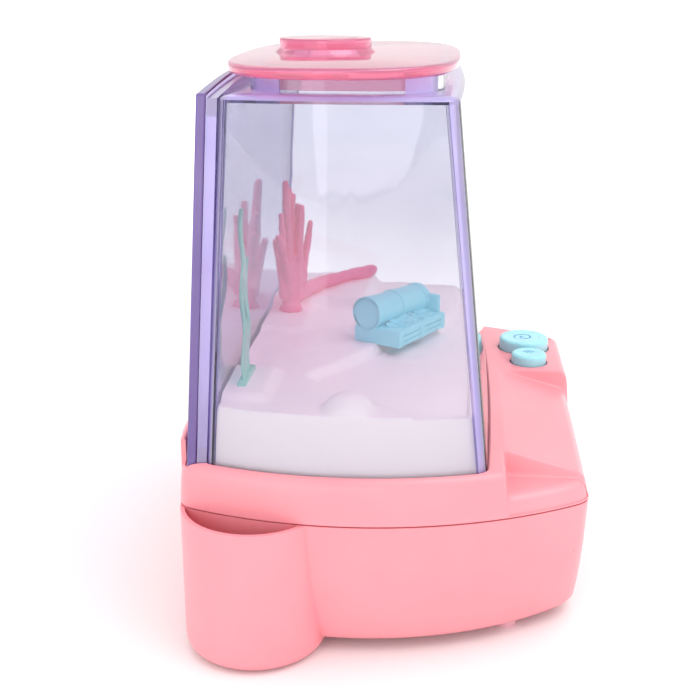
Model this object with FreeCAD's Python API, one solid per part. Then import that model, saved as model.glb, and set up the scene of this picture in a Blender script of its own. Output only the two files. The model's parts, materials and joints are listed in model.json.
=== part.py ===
import FreeCAD, Part
import math
import os

# Toy aquarium playset: a clear tank with scenery on a pink push-button base.
# Millimetres, +Z up.  Each shape is drawn with X = 0 on the toy's middle plane, -Y towards the push
# buttons and Z = 0 on the ground.  SHIFT then moves it so that the origin is the middle of the footprint.

V = FreeCAD.Vector
UP = V(0, 0, 1)

# ---- driving dimensions: base ----
SIDE_X = 104.9            # half width of the base at its middle
SIDE_R = 156.7            # plan radius of the bowed sides
FRONT_Y = -92.0           # front face
FRONT_R = 6000.0          # plan radius of the nearly straight front
BACK_Y = 69.3             # back face
BACK_R = 437.0            # plan radius of the bowed back
CORNER_FRONT = 9.0
CORNER_BACK = 8.0
BOTTOM_Z = 4.0            # underside
SEAM_Z = 57.3             # split between the two casings
SEAM_GAP = 0.3            # half height of the open joint line
DECK_Z = 74.5             # top of the deck
TUCK = 10.0               # how far the sides curve in towards the bottom
WALL = 2.2                # casing wall
FLOOR = 2.4               # casing floor
DECK_T = 2.4              # thickness of the deck plate
LIP_GAP = 0.3             # between the lower casing's lip and the upper casing's wall

# ---- driving dimensions: accessory pocket ----
POCKET_X = -87.5
POCKET_Y = 32.9
POCKET_R = 27.1
POCKET_WALL = 1.6
POCKET_BOTTOM = 0.6

# ---- driving dimensions: console ----
STEP_Y = -60.0            # back edge of the console
WEDGE_LEFT = -70.0        # left side of the sloping middle
WEDGE_RIGHT = 23.0        # right side of the sloping middle, where the button platform starts
WEDGE_DROP = 0.283        # fall of the slope per millimetre
SHELF_Z = 64.5            # low shelf beside the slope

# ---- driving dimensions: rear fairing ----
FAIRING_TOP = 91.0
FAIRING_X = 90.0
FAIRING_R = 420.0         # radius of its crowned top

# ---- driving dimensions: tank ----
SEAT_DEPTH = 2.0          # how far the tank stands down in the deck
TANK_WALL = 2.5
TANK_X = 99.7             # half width at the deck
TANK_LEAN = 0.0931        # fall inwards of the sides per millimetre of height
TANK_FRONT = -54.9
FRONT_LEAN = 0.1063
TANK_REAR = 49.6
REAR_LEAN = 0.0572
TANK_FRONT_R = 1800.0
TANK_REAR_R = 6000.0
TANK_SIDE_R = 157.0       # plan radius of the sides at the deck
TANK_SIDE_R_TOP = 365.0   # and at the shoulder
SHOULDER_Z = 204.0
ROOF_Z = 205.6
COLLAR_X = 78.0
COLLAR_Y = 34.8
COLLAR_CORNER = 24.0
COLLAR_TOP = 210.7
TOP_MID_Y = 0.8           # middle of the collar

# ---- driving dimensions: rear rim and back panel ----
RIM_T = 3.6
RIM_WIDE = 6.0            # width of the rim's frame
PANEL_T = 3.5
PANEL_GAP = 0.3
PANEL_X = 91.4            # half width at the deck
PANEL_X_TOP = 85.4        # half width at PANEL_TOP
PANEL_TOP = 206.0
PANEL_CROWN = 210.2       # height in the middle
RIM_CROWN = 208.5

# ---- driving dimensions: lid ----
LID_X = 88.0
LID_Y = 43.8
LID_MID_Y = 4.5
LID_T = 4.0
LID_POWER = 2.9           # exponent of the lid's rounded outline
SKIRT_T = 1.8
SKIRT_DEPTH = 4.4
KNOB_Y = 14.9
KNOB_R = 18.5
KNOB_H = 5.6
KNOB_WALL = 1.8

# ---- driving dimensions: buttons ----
BUTTON_TRAVEL = 2.5
BIG_XY = (57.5, -73.0)
BIG_R = 11.5
BIG_TOP = 80.0
SMALL_XY = (36.0, -74.3)
SMALL_R = 8.0
SMALL_TOP = 79.0
BUTTON_GAP = 0.4          # radial gap round a button in the deck
BUTTON_POSTS = ((26.5, -64.5), (72.0, -64.5))
FLANGE_T = 1.2
FLANGE_WIDE = 1.2         # how far the flange stands out round the cap
FLANGE_FLAT = 0.35        # half the gap between the flats of the two flanges
FLANGE_TOP = DECK_Z - DECK_T - 0.3
STEM_LOW = 67.9
SPRING_WIRE = 0.4         # radius of the wire
SPRING_TURNS = 4
BOARD_Z = 59.0            # underside of the button board
BOARD_T = 1.6

# ---- driving dimensions: battery bay ----
CELL_R = 7.1
CELL_L = 50.0
CELL_PITCH = 15.2
CELL_COUNT = 3
BAY_Y = 20.0
DOOR_T = 2.0

# ---- driving dimensions: case screws ----
POST_XY = ((-54.0, 52.0), (54.0, 52.0), (-62.0, -52.0), (62.0, -50.0))
POST_R = 4.0
PILOT_R = 1.2
BOSS_TOP = 29.8

# ---- driving dimensions: feet ----
FEET_XY = ((-68.5, -63.0), (68.5, -63.0), (-42.0, 53.0), (42.0, 53.0))
FOOT_R = 4.0

# ---- driving dimensions: scenery ----
TRAY_GAP = 0.4
TRAY_FLOOR = 92.0
TRAY_RIM = 94.5
TERRACE_Z = 95.5
TERRACE_EDGE = ((-99, -30), (-72, -8), (-53, 15), (-30, 3), (-6, -11), (21, -33), (60, -40), (99, -42))
CORAL_FOOT = (34.0, 35.5)
CORAL_FOOT_R = 5.8
# start, end, radius at the start, radius at the end
CORAL_BRANCHES = (
    ((34, 35.5, 101), (34, 36.5, 112), 3.2, 2.8),
    ((34, 36.5, 112), (30, 37.0, 156), 2.8, 1.6),
    ((34, 36.5, 114), (42, 36.0, 148), 2.4, 1.6),
    ((33, 36.0, 110), (20, 38.0, 134), 2.4, 1.5),
    ((24, 37.0, 126), (23, 38.0, 143), 1.8, 1.4),
    ((36, 36.0, 108), (52, 33.5, 136), 2.6, 1.5),
    ((46, 34.5, 126), (47, 35.0, 141), 1.8, 1.4),
    ((31, 36.5, 138), (36, 36.5, 152), 1.6, 1.3),
    ((38, 34.0, 103), (58, 25.0, 104), 2.8, 2.4),
    ((58, 25.0, 104), (76, 12.0, 103.4), 2.4, 2.2),
    ((76, 12.0, 103.4), (86, 3.0, 103.2), 2.2, 2.4),
)
CHEST_TURN = -29.0
CHEST_L = 38.0
CHEST_W = 22.2
CHEST_H = 6.6
CHEST_CORNER = (-15.2, -17.0)
BARREL_R = 7.0
BARREL_ACROSS = 16.8
BARREL_UP = 13.6

# ---- driving dimensions: sound, light and power switch ----
MAIN_BOARD_Z = 16.0
MAIN_BOARD = (-50.0, -74.0, 8.0, -28.0)
BOARD_POSTS = ((-46.5, -70.5), (4.5, -70.5), (-46.5, -31.5), (4.5, -31.5))
SPEAKER_XY = (40.0, -40.0)
SPEAKER_Z = 6.6
SPEAKER_R = 18.0
SPEAKER_POSTS = ((40.0, -62.5), (40.0, -17.5))
LIGHT_XY = (0.0, -8.0)
LENS_R = 11.0
LIGHT_BOARD_Z = 60.0
LIGHT_POSTS = ((-15.0, -8.0), (15.0, -8.0))
DOOR_SCREWS = ((0.0, -9.0), (0.0, 49.0))
DOOR_LUG_R = 5.0
SWITCH_XY = (54.0, 22.0)
SWITCH_TRAVEL = 4.0
SWITCH_PIN = 9.5
SWITCH_PIN_R = 1.0

# the origin is the middle of the footprint's box
LEFT_X = POCKET_X - POCKET_R
SHIFT = V(-(LEFT_X + SIDE_X) / 2, -(FRONT_Y + BACK_Y) / 2, 0)


# ---- small helpers ----
def box(x0, y0, z0, x1, y1, z1):
    return Part.makeBox(x1 - x0, y1 - y0, z1 - z0, V(x0, y0, z0))


def rod(x, y, z0, z1, radius):
    return Part.makeCylinder(radius, z1 - z0, V(x, y, z0))


def fuse_all(shapes):
    return shapes[0].multiFuse(shapes[1:]).removeSplitter()


def prism_x(points, x0, x1):
    corners = [V(x0, y, z) for y, z in points]
    face = Part.Face(Part.makePolygon(corners + corners[:1]))
    return face.extrude(V(x1 - x0, 0, 0))


def circles_meet(ax, ay, ra, bx, by, rb):
    """The crossing of two circles that lies furthest to the left."""
    gap = math.hypot(bx - ax, by - ay)
    along = (ra * ra - rb * rb + gap * gap) / (2 * gap)
    across = math.sqrt(ra * ra - along * along)
    mx = ax + along * (bx - ax) / gap
    my = ay + along * (by - ay) / gap
    dx = across * (by - ay) / gap
    dy = across * (bx - ax) / gap
    return min((mx + dx, my - dy), (mx - dx, my + dy))


def towards(cx, cy, px, py, radius):
    """The point at radius from (cx, cy) in the direction of (px, py)."""
    reach = math.hypot(px - cx, py - cy)
    return (cx + (px - cx) * radius / reach, cy + (py - cy) * radius / reach)


def plan_wire(z, side_x, side_r, front_y, front_r, back_y, back_r, corner_f, corner_b):
    """A closed outline at height z: four bowed edges joined by tangent corner arcs."""
    side_c = (side_r - side_x, 0.0)
    front_c = (0.0, front_y + front_r)
    back_c = (0.0, back_y - back_r)
    left = []
    for far_c, far_r, corner in ((front_c, front_r, corner_f), (back_c, back_r, corner_b)):
        mid = circles_meet(*side_c, side_r - corner, *far_c, far_r - corner)
        on_far = towards(*far_c, *mid, far_r)
        on_side = towards(*side_c, *mid, side_r)
        bisect = ((on_far[0] + on_side[0]) / 2, (on_far[1] + on_side[1]) / 2)
        left.append((on_far, towards(*mid, *bisect, corner), on_side))
    (f_far, f_mid, f_side), (b_far, b_mid, b_side) = left

    def at(point, mirror=1):
        return V(point[0] * mirror, point[1], z)

    arcs = [
        (at(f_far), V(0, front_y, z), at(f_far, -1)),
        (at(f_far, -1), at(f_mid, -1), at(f_side, -1)),
        (at(f_side, -1), V(side_x, 0, z), at(b_side, -1)),
        (at(b_side, -1), at(b_mid, -1), at(b_far, -1)),
        (at(b_far, -1), V(0, back_y, z), at(b_far)),
        (at(b_far), at(b_mid), at(b_side)),
        (at(b_side), V(-side_x, 0, z), at(f_side)),
        (at(f_side), at(f_mid), at(f_far)),
    ]
    return Part.Wire([Part.Arc(*arc).toShape() for arc in arcs])


def round_box_wire(x, y, corner, mid_y, z):
    """A rounded rectangle with half sizes x and y about (0, mid_y)."""
    flat = box(-x, mid_y - y, z, x, mid_y + y, z + 10)
    uprights = [e for e in flat.Edges if abs(e.BoundBox.ZLength - 10) < 0.01]
    rounded = flat.makeFillet(corner, uprights)
    base = min(rounded.Faces, key=lambda f: f.CenterOfMass.z)
    return base.OuterWire


def super_wire(x, y, mid_y, z, count=48):
    """A smooth superellipse outline."""
    points = []
    for i in range(count):
        a = 2 * math.pi * i / count
        c = math.cos(a)
        s = math.sin(a)
        px = x * math.copysign(abs(c) ** (2 / LID_POWER), c)
        py = y * math.copysign(abs(s) ** (2 / LID_POWER), s)
        points.append(V(px, mid_y + py, z))
    curve = Part.BSplineCurve()
    curve.interpolate(points, PeriodicFlag=True)
    return Part.Wire([curve.toShape()])


def upright(wire, height):
    return Part.Face(wire).extrude(V(0, 0, height))


# ---- base casings ----
def shell_section(z, inset=0.0, lift=0.0):
    """The lower casing's outline at height z, taken from the outside shape lift below it."""
    depth = (SEAM_Z - (z - lift)) / (SEAM_Z - BOTTOM_Z)
    near_floor = max(0.0, 1 - (z - lift - BOTTOM_Z) / 5.0)
    roll = 3.5 * near_floor ** 2.5
    tuck = TUCK * depth ** 1.7 + roll + inset
    return plan_wire(z, SIDE_X - tuck, SIDE_R - 28 * depth - inset,
                     FRONT_Y + 1.5 * depth ** 3 + roll + inset, FRONT_R,
                     BACK_Y - 6 * depth ** 2 - roll - inset, BACK_R - inset,
                     CORNER_FRONT + 6 * depth - inset, CORNER_BACK + 6 * depth - inset)


def shell_solid(top, bottom, inset, lift):
    heights = [bottom, bottom + 1.5, bottom + 4.0, bottom + 10.0, bottom + 20.0, bottom + 32.0, top]
    return Part.makeLoft([shell_section(z, inset, lift) for z in heights], True, True)


def pocket_cylinder(radius, z0, z1, fillet):
    body = rod(POCKET_X, POCKET_Y, z0, z1, radius)
    low = [e for e in body.Edges if e.BoundBox.ZMax < z0 + 0.01]
    return body.makeFillet(fillet, low)


def battery_bay_blocks():
    """Outer block, cavity and door rebate of the battery bay."""
    half_y = CELL_COUNT * CELL_PITCH / 2
    outer = box(-33.0, BAY_Y - half_y - 4.0, BOTTOM_Z, 33.0, BAY_Y + half_y + 4.0, 24.0)
    cavity = box(-28.5, BAY_Y - half_y, 0, 28.5, BAY_Y + half_y, 22.0)
    rebate = box(-31.0, BAY_Y - half_y - 2.5, 0, 31.0, BAY_Y + half_y + 2.5, BOTTOM_Z + DOOR_T + 0.2)
    return outer, cavity, rebate


def lower_shell():
    outer = shell_solid(SEAM_Z - SEAM_GAP, BOTTOM_Z, 0.0, 0.0)
    inner = shell_solid(SEAM_Z - SEAM_GAP, BOTTOM_Z + FLOOR, WALL, FLOOR)
    pocket = pocket_cylinder(POCKET_R, POCKET_BOTTOM, SEAM_Z - SEAM_GAP, 5.0)
    hollow = pocket_cylinder(POCKET_R - POCKET_WALL, POCKET_BOTTOM + 2.0, SEAM_Z, 3.5).cut(outer)
    lip_out = upright(base_wire(SEAM_Z - 4.0, WALL + LIP_GAP), 7.0)
    lip_in = upright(base_wire(SEAM_Z - 4.0, WALL + LIP_GAP + 1.2), 7.0)
    lip_seat = upright(base_wire(SEAM_Z - 4.0, WALL - 0.6), 1.5).cut(lip_in)
    body = fuse_all([outer, pocket]).cut(inner).cut(hollow)
    bay, cavity, rebate = battery_bay_blocks()
    adds = [lip_out.cut(lip_in), lip_seat, bay]
    cuts = [cavity, rebate]
    for x, y in POST_XY:
        adds.append(rod(x, y, BOTTOM_Z + 1.0, BOSS_TOP, 5.0))
        cuts.append(rod(x, y, 0, BOSS_TOP - 3.8, 3.2))
        cuts.append(rod(x, y, 0, BOSS_TOP + 1, 1.7))
    for x, y in BOARD_POSTS:
        adds.append(rod(x, y, BOTTOM_Z + 1.0, MAIN_BOARD_Z, 3.0))
        cuts.append(rod(x, y, MAIN_BOARD_Z - 8.0, MAIN_BOARD_Z + 1, 0.9))
    for x, y in SPEAKER_POSTS:
        adds.append(rod(x, y, BOTTOM_Z + 1.0, SPEAKER_Z + 0.4, 3.0))
        cuts.append(rod(x, y, BOTTOM_Z + 1.2, SPEAKER_Z + 1, 0.9))
    for x, y in grille_holes():
        cuts.append(rod(x, y, 0, BOTTOM_Z + FLOOR + 0.5, 1.2))
    for x, y in FEET_XY:
        cuts.append(rod(x, y, 0, BOTTOM_Z + 1.0, FOOT_R + 0.05))
    for x, y in DOOR_SCREWS:
        adds.append(rod(x, y, BOTTOM_Z + 1.0, 20.0, 5.6))
        cuts.append(rod(x, y, 0, BOTTOM_Z + DOOR_T + 0.2, DOOR_LUG_R + 0.3))
        cuts.append(rod(x, y, 0, 17.0, 1.3))
    x, y = SWITCH_XY
    cuts.append(box(x - 4.4, y - 2.2, 0, x + 4.4, y + 2.2, BOTTOM_Z + FLOOR + 0.5))
    cuts.append(box(x - 6.4, y - 4.0, 0, x + 6.4, y + 4.0, BOTTOM_Z + 1.0))
    body = fuse_all([body] + adds).cut(fuse_all(cuts))
    pins = [rod(px, y, BOTTOM_Z + 1.5, BOTTOM_Z + FLOOR + 2.0, SWITCH_PIN_R)
            for px in (x - SWITCH_PIN, x + SWITCH_PIN)]
    return fuse_all([body] + pins)


def base_wire(z, inset):
    return plan_wire(z, SIDE_X - inset, SIDE_R - inset, FRONT_Y + inset, FRONT_R,
                     BACK_Y - inset, BACK_R - inset, CORNER_FRONT - inset, CORNER_BACK - inset)


def deck_solid(bottom, inset, drop):
    """The deck's outside shape, or with inset and drop its inside shape."""
    rows = ((bottom, 0.0), (64.0 - drop, 0.3), (69.0 - drop, 0.8), (71.5 - drop, 1.4), (73.3 - drop, 2.4),
            (74.2 - drop, 3.6), (DECK_Z - drop, 4.8))
    return Part.makeLoft([base_wire(z, inset + extra) for z, extra in rows], True, True)


def console_cuts(inset, drop):
    """What is taken off the deck for the sloping middle and the low shelf."""
    far = FRONT_Y - 20
    slope_end = DECK_Z - drop - WEDGE_DROP * (STEP_Y - far)
    wedge = prism_x([(STEP_Y + inset, DECK_Z - drop), (STEP_Y + inset, 90), (far, 90), (far, slope_end)],
                    WEDGE_LEFT - 60 - inset, WEDGE_RIGHT + inset)
    shelf = box(-130, far, SHELF_Z - drop, WEDGE_LEFT + inset, STEP_Y + inset, 90)
    return wedge, shelf


def tank_wire(z, inset=0.0, back=0.0):
    """The tank's outline at height z; back moves its rear edge outwards."""
    up = z - 75.0
    share = up / (SHOULDER_Z - 75.0)
    side_r = TANK_SIDE_R + (TANK_SIDE_R_TOP - TANK_SIDE_R) * share
    return plan_wire(z, TANK_X - TANK_LEAN * up - inset, side_r - inset, TANK_FRONT + FRONT_LEAN * up + inset,
                     TANK_FRONT_R, TANK_REAR - REAR_LEAN * up - inset + back, TANK_REAR_R,
                     6.0 - min(inset, 4.5), 3.0 - min(inset, 2.0))


def seat_recess():
    floor = DECK_Z - SEAT_DEPTH
    reach = RIM_T + PANEL_GAP + PANEL_T
    tank = upright(tank_wire(floor, -0.4), 20)
    back = prism_x([(TANK_REAR - 6, floor), (TANK_REAR + reach + 0.7, floor), (TANK_REAR + reach - 0.6, 120),
                    (TANK_REAR - 6, 120)], -PANEL_X - 0.7, PANEL_X + 0.7)
    return tank.fuse(back)


def rear_fairing():
    """The raised strip behind the back panel, with its ends curved down."""
    y0 = TANK_REAR + RIM_T + PANEL_GAP + PANEL_T + 0.5
    profile = [(y0 - 4, 66), (y0 - 4, FAIRING_TOP), (y0 + 0.6, FAIRING_TOP), (y0 + 2.0, FAIRING_TOP - 1),
               (y0 + 8.5, 74), (y0 + 12, 66)]
    strip = prism_x(profile, -FAIRING_X, FAIRING_X)
    back = upright(base_wire(SEAM_Z + 2, 1.0), 40)
    crown = Part.makeCylinder(FAIRING_R, 80, V(0, -10, FAIRING_TOP + 0.4 - FAIRING_R), V(0, 1, 0))
    return strip.common(back).common(crown)


def upper_deck():
    bottom = SEAM_Z + SEAM_GAP
    plate = DECK_T
    outer = deck_solid(bottom, 0.0, 0.0)
    for cut in console_cuts(0.0, 0.0):
        outer = outer.cut(cut)
    inner = deck_solid(bottom, WALL, plate)
    for cut in console_cuts(WALL, plate):
        inner = inner.cut(cut)
    recess = seat_recess()
    seat_block = upright(tank_wire(DECK_Z - SEAT_DEPTH - plate, -2.6), 10)
    rear_block = box(-PANEL_X - 3, TANK_REAR - 8, DECK_Z - SEAT_DEPTH - plate, PANEL_X + 3, BACK_Y, 90)
    inner = inner.cut(seat_block).cut(rear_block)
    body = outer.fuse(rear_fairing()).cut(inner).cut(recess)
    adds = []
    cuts = []
    for (x, y), radius in ((BIG_XY, BIG_R), (SMALL_XY, SMALL_R)):
        cuts.append(rod(x, y, 60, 90, radius + BUTTON_GAP))
    for x, y in POST_XY:
        adds.append(rod(x, y, BOSS_TOP + 0.2, DECK_Z - SEAT_DEPTH - 1.0, POST_R))
        cuts.append(rod(x, y, BOSS_TOP, BOSS_TOP + 14, PILOT_R))
    for x, y in BUTTON_POSTS:
        adds.append(rod(x, y, BOARD_Z + BOARD_T, DECK_Z - plate + 0.5, 2.5))
        cuts.append(rod(x, y, BOARD_Z, DECK_Z - plate - 2, 0.8))
    for x, y in LIGHT_POSTS:
        adds.append(rod(x, y, LIGHT_BOARD_Z + BOARD_T, DECK_Z - SEAT_DEPTH - 1.0, 2.2))
        adds.append(rod(x, y, LIGHT_BOARD_Z - 0.6, LIGHT_BOARD_Z + BOARD_T + 0.5, 1.0))
    cuts.append(rod(LIGHT_XY[0], LIGHT_XY[1], 60, 80, LENS_R + 0.1))
    body = fuse_all([body] + adds)
    return body.cut(Part.makeCompound(cuts))


# ---- tank, panel and lid ----
def rear_plate(t, crown, ends, y_front):
    """A plate that leans with the tank's rear, wide at the deck, with a top edge that falls to ends."""
    low = DECK_Z - SEAT_DEPTH
    high = PANEL_CROWN + 5
    outline = []
    for z in (low, high):
        up = z - 75.0
        x = PANEL_X - (PANEL_X - PANEL_X_TOP) * up / (PANEL_TOP - 75.0)
        y = y_front - REAR_LEAN * up
        corners = [V(-x, y, z), V(x, y, z), V(x, y + t, z), V(-x, y + t, z), V(-x, y, z)]
        outline.append(Part.makePolygon(corners))
    body = Part.makeLoft(outline, True, True)
    drop = crown - ends
    radius = (PANEL_X_TOP ** 2 + drop ** 2) / (2 * drop)
    dome = Part.makeCylinder(radius, 60, V(0, 20, crown - radius), V(0, 1, 0))
    return body.common(dome)


def rear_rim():
    """The tank's rear rim: a frame that stiffens its back edge."""
    plate = rear_plate(RIM_T, RIM_CROWN, PANEL_TOP - 1.5, TANK_REAR - 0.4)
    low = DECK_Z - SEAT_DEPTH
    shape = []
    for z in (low + RIM_WIDE, PANEL_TOP - RIM_WIDE - 2):
        up = z - 75.0
        x = PANEL_X - (PANEL_X - PANEL_X_TOP) * up / (PANEL_TOP - 75.0) - RIM_WIDE
        shape.append(Part.makePolygon([V(-x, 30, z), V(x, 30, z), V(x, 60, z), V(-x, 60, z), V(-x, 30, z)]))
    window = Part.makeLoft(shape, True, True)
    tank_inside = tank_solid(TANK_WALL, DECK_Z - SEAT_DEPTH, SHOULDER_Z - TANK_WALL)
    behind = tank_solid(0.0, DECK_Z - SEAT_DEPTH, SHOULDER_Z)
    return plate.cut(window.cut(behind)).cut(tank_inside)


def tank_solid(inset, z0, z1):
    return Part.makeLoft([tank_wire(z0, inset), tank_wire(z1, inset)], True, True)


def tank_roof():
    rows = ((SHOULDER_Z, 0.0), (SHOULDER_Z + 0.7, 0.6), (SHOULDER_Z + 1.2, 1.8), (ROOF_Z, 4.2))
    return Part.makeLoft([tank_wire(z, inset) for z, inset in rows], True, True)


def tank_body():
    low = DECK_Z - SEAT_DEPTH
    shell = tank_solid(0.0, low, SHOULDER_Z).fuse(tank_roof())
    collar = upright(round_box_wire(COLLAR_X, COLLAR_Y, COLLAR_CORNER, TOP_MID_Y, SHOULDER_Z),
                     COLLAR_TOP - SHOULDER_Z)
    mouth = upright(round_box_wire(COLLAR_X - TANK_WALL, COLLAR_Y - TANK_WALL, COLLAR_CORNER - TANK_WALL,
                                   TOP_MID_Y, SHOULDER_Z - 10), 30)
    inside = tank_solid(TANK_WALL, low, SHOULDER_Z).common(box(-120, -120, low, 120, 120, SHOULDER_Z - 1.2))
    body = fuse_all([shell, collar]).cut(inside).cut(mouth)
    return fuse_all([body, rear_rim()])


def back_panel():
    return rear_plate(PANEL_T, PANEL_CROWN, PANEL_TOP, TANK_REAR - 0.4 + RIM_T + PANEL_GAP)


def tank_lid():
    plate = upright(super_wire(LID_X, LID_Y, LID_MID_Y, COLLAR_TOP), LID_T)
    rims = [e for e in plate.Edges if e.BoundBox.ZLength < 0.01]
    plate = plate.makeFillet(1.6, rims)
    reach_x = COLLAR_X - TANK_WALL - 0.6
    reach_y = COLLAR_Y - TANK_WALL - 0.6
    corner = COLLAR_CORNER - TANK_WALL - 0.6
    low = COLLAR_TOP - SKIRT_DEPTH
    skirt = upright(round_box_wire(reach_x, reach_y, corner, TOP_MID_Y, low), SKIRT_DEPTH + 1)
    bore = upright(round_box_wire(reach_x - SKIRT_T, reach_y - SKIRT_T, corner - SKIRT_T, TOP_MID_Y, low - 1),
                   SKIRT_DEPTH + 1)
    top = COLLAR_TOP + LID_T
    knob = rod(0, KNOB_Y, top - 1, top + KNOB_H, KNOB_R)
    knob = knob.makeFillet(0.9, [e for e in knob.Edges if e.BoundBox.ZMin > top + KNOB_H - 0.01])
    flare = Part.makeCone(KNOB_R + 1.6, KNOB_R, 1.6, V(0, KNOB_Y, top))
    hollow = rod(0, KNOB_Y, COLLAR_TOP - 1, top + KNOB_H - KNOB_WALL, KNOB_R - KNOB_WALL)
    return fuse_all([plate, skirt.cut(bore), knob, flare]).cut(hollow)


# ---- scenery ----


def inner_tank_block(z0, z1, inset):
    """The tank's inside between two heights, with its walls parallel to the tank's."""
    whole = tank_solid(inset, z0, SHOULDER_Z)
    return whole.common(box(-120, -120, z0, 120, 120, z1))


def terrace():
    """The raised rear part of the sea floor, whose front edge is an S curve."""
    edge = [V(x, y, 0) for x, y in TERRACE_EDGE]
    curve = Part.BSplineCurve()
    curve.interpolate(edge)
    sides = Part.makePolygon([edge[-1], V(99, 60, 0), V(-99, 60, 0), edge[0]])
    face = Part.Face(Part.Wire([curve.toShape()] + sides.Edges))
    return face.translated(V(0, 0, 85)).extrude(V(0, 0, TERRACE_Z - 85))


def scenery_tray():
    clear = TANK_WALL + TRAY_GAP
    low = DECK_Z - SEAT_DEPTH + 0.1
    block = inner_tank_block(low, TRAY_RIM, clear)
    dish = inner_tank_block(TRAY_FLOOR, TRAY_RIM + 10, clear + 3.0)
    room = inner_tank_block(low, TRAY_RIM + 30, clear + 0.05)
    hills = fuse_all([
        terrace(),
        mound(-84, 26, -44, 60, 98.0),
        mound(4, 22, 64, 60, 97.0),
        mound(40, -2, 99, 60, 100.5),
        Part.makeSphere(11.0, V(-85.5, -2.5, 90.5)),
    ])
    hollow = inner_tank_block(low - 1, TRAY_FLOOR - 2.4, clear + 2.4)
    return fuse_all([block.cut(dish), hills.common(room)]).cut(hollow)


def mound(x0, y0, x1, y1, top):
    """A flat-topped rise with rounded top edges."""
    block = box(x0, y0, 84, x1, y1, top)
    return block.makeFillet(4.0, [e for e in block.Edges if e.BoundBox.ZMin > top - 0.01])


def frond(points, y, t):
    """One leaf: a closed smooth outline in an X-Z plane, t thick."""
    curve = Part.BSplineCurve()
    curve.interpolate([V(x, y, z) for x, z in points], PeriodicFlag=True)
    return Part.Face(Part.Wire([curve.toShape()])).extrude(V(0, t, 0))


def seaweed():
    t = 1.8
    y = 37.5
    base = box(-74, y - 1.2, 98.0, -50, y + 3.0, 100.0)
    tall = [(-63, 99), (-60, 112), (-65, 124), (-61, 137), (-64, 150), (-62.5, 163), (-67, 151), (-70, 138),
            (-68, 125), (-71, 112), (-70, 99)]
    low = [(-53, 99), (-50.5, 110), (-54, 121), (-51.5, 132), (-54.5, 143), (-58.5, 132), (-57, 121),
           (-60, 110), (-58.5, 99)]
    leaves = fuse_all([base, frond(tall, y, t), frond(low, y + 0.6, t)])
    return leaves.cut(box(-90, y - 5, 90, -40, y + 8, base.BoundBox.ZMin))


def branch(start, end, r0, r1):
    axis = V(*end) - V(*start)
    body = Part.makeCone(r0, r1, axis.Length, V(*start), axis)
    return fuse_all([body, Part.makeSphere(r1 * 1.06, V(*end))])


def coral():
    foot = rod(*CORAL_FOOT, 97.0, 101.0, CORAL_FOOT_R)
    return fuse_all([foot] + [branch(*row) for row in CORAL_BRANCHES])


def treasure_chest():
    """An open chest in one moulding, drawn along X and turned about its near corner."""
    case = box(0, 0, 0, CHEST_L, CHEST_W, CHEST_H)
    case = case.makeFillet(0.8, case.Edges)
    barrel = Part.makeCylinder(BARREL_R, CHEST_L, V(0, BARREL_ACROSS, BARREL_UP), V(1, 0, 0))
    cut = box(-5, -20, -30, CHEST_L + 5, 20, -2.6)
    cut.rotate(V(0, 0, 0), V(1, 0, 0), -21)
    cut.translate(V(0, BARREL_ACROSS, BARREL_UP))
    barrel = barrel.cut(cut)
    back = box(0.4, CHEST_W - 3.2, CHEST_H - 1, CHEST_L - 0.4, CHEST_W - 0.4, BARREL_UP)
    coins = []
    for i in range(9):
        x = 5 + 3.6 * i
        y = 5.6 + 3.4 * (i % 2)
        coins.append(rod(x, y, CHEST_H - 0.5, CHEST_H + 0.9 + 0.5 * (i % 3), 2.9))
    chest = fuse_all([case, barrel, back] + coins)
    chest.rotate(V(0, 0, 0), UP, CHEST_TURN)
    chest.translate(V(CHEST_CORNER[0], CHEST_CORNER[1], TERRACE_Z))
    return chest


# ---- buttons ----


def flange_side():
    """The X of the plane halfway between the two buttons' caps."""
    return (BIG_XY[0] - BIG_R + SMALL_XY[0] + SMALL_R) / 2


def button(xy, radius, top):
    """A cap with a retaining flange, which is cut flat on the side of the other button."""
    x, y = xy
    cap = rod(x, y, FLANGE_TOP - FLANGE_T, top, radius)
    cap = cap.makeFillet(1.2, [e for e in cap.Edges if e.BoundBox.ZMin > top - 0.01])
    flange = rod(x, y, FLANGE_TOP - FLANGE_T, FLANGE_TOP, radius + FLANGE_WIDE)
    middle = flange_side()
    flat = FLANGE_FLAT if x > middle else -FLANGE_FLAT
    beyond = middle - 60 if x > middle else middle
    flange = flange.cut(box(beyond + flat, y - 30, 0, beyond + flat + 60, y + 30, 90))
    hollow = rod(x, y, FLANGE_TOP - FLANGE_T - 1, top - 1.8, radius - 1.6)
    stem = rod(x, y, STEM_LOW, top - 1, 1.8)
    return fuse_all([fuse_all([cap, flange]).cut(hollow), stem])


def coil(x, y, z0, z1, radius, wire, turns):
    """A coil spring of half turns, each a half ring tilted to climb half the pitch."""
    clear = 0.1
    rise = (z1 - z0 - 2 * wire - 2 * clear) / turns / 2
    tilt = math.degrees(math.atan2(rise, 2 * radius))
    reach = math.hypot(radius, rise / 2)
    halves = []
    for i in range(round(2 * turns)):
        side = 1 if i % 2 == 0 else -1
        half = Part.makeTorus(reach, wire, V(0, 0, 0), UP, 0, 360, 180)
        half.rotate(V(0, 0, 0), V(0, 1, 0), tilt)
        if side < 0:
            half.rotate(V(0, 0, 0), UP, 180)
        half.translate(V(x, y, z0 + wire + clear + rise * (i + 0.5)))
        halves.append(half)
    return fuse_all(halves)


def button_spring(xy, radius):
    top = FLANGE_TOP - FLANGE_T - 0.1
    return coil(*xy, BOARD_Z + BOARD_T, top, radius, SPRING_WIRE, SPRING_TURNS)


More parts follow.
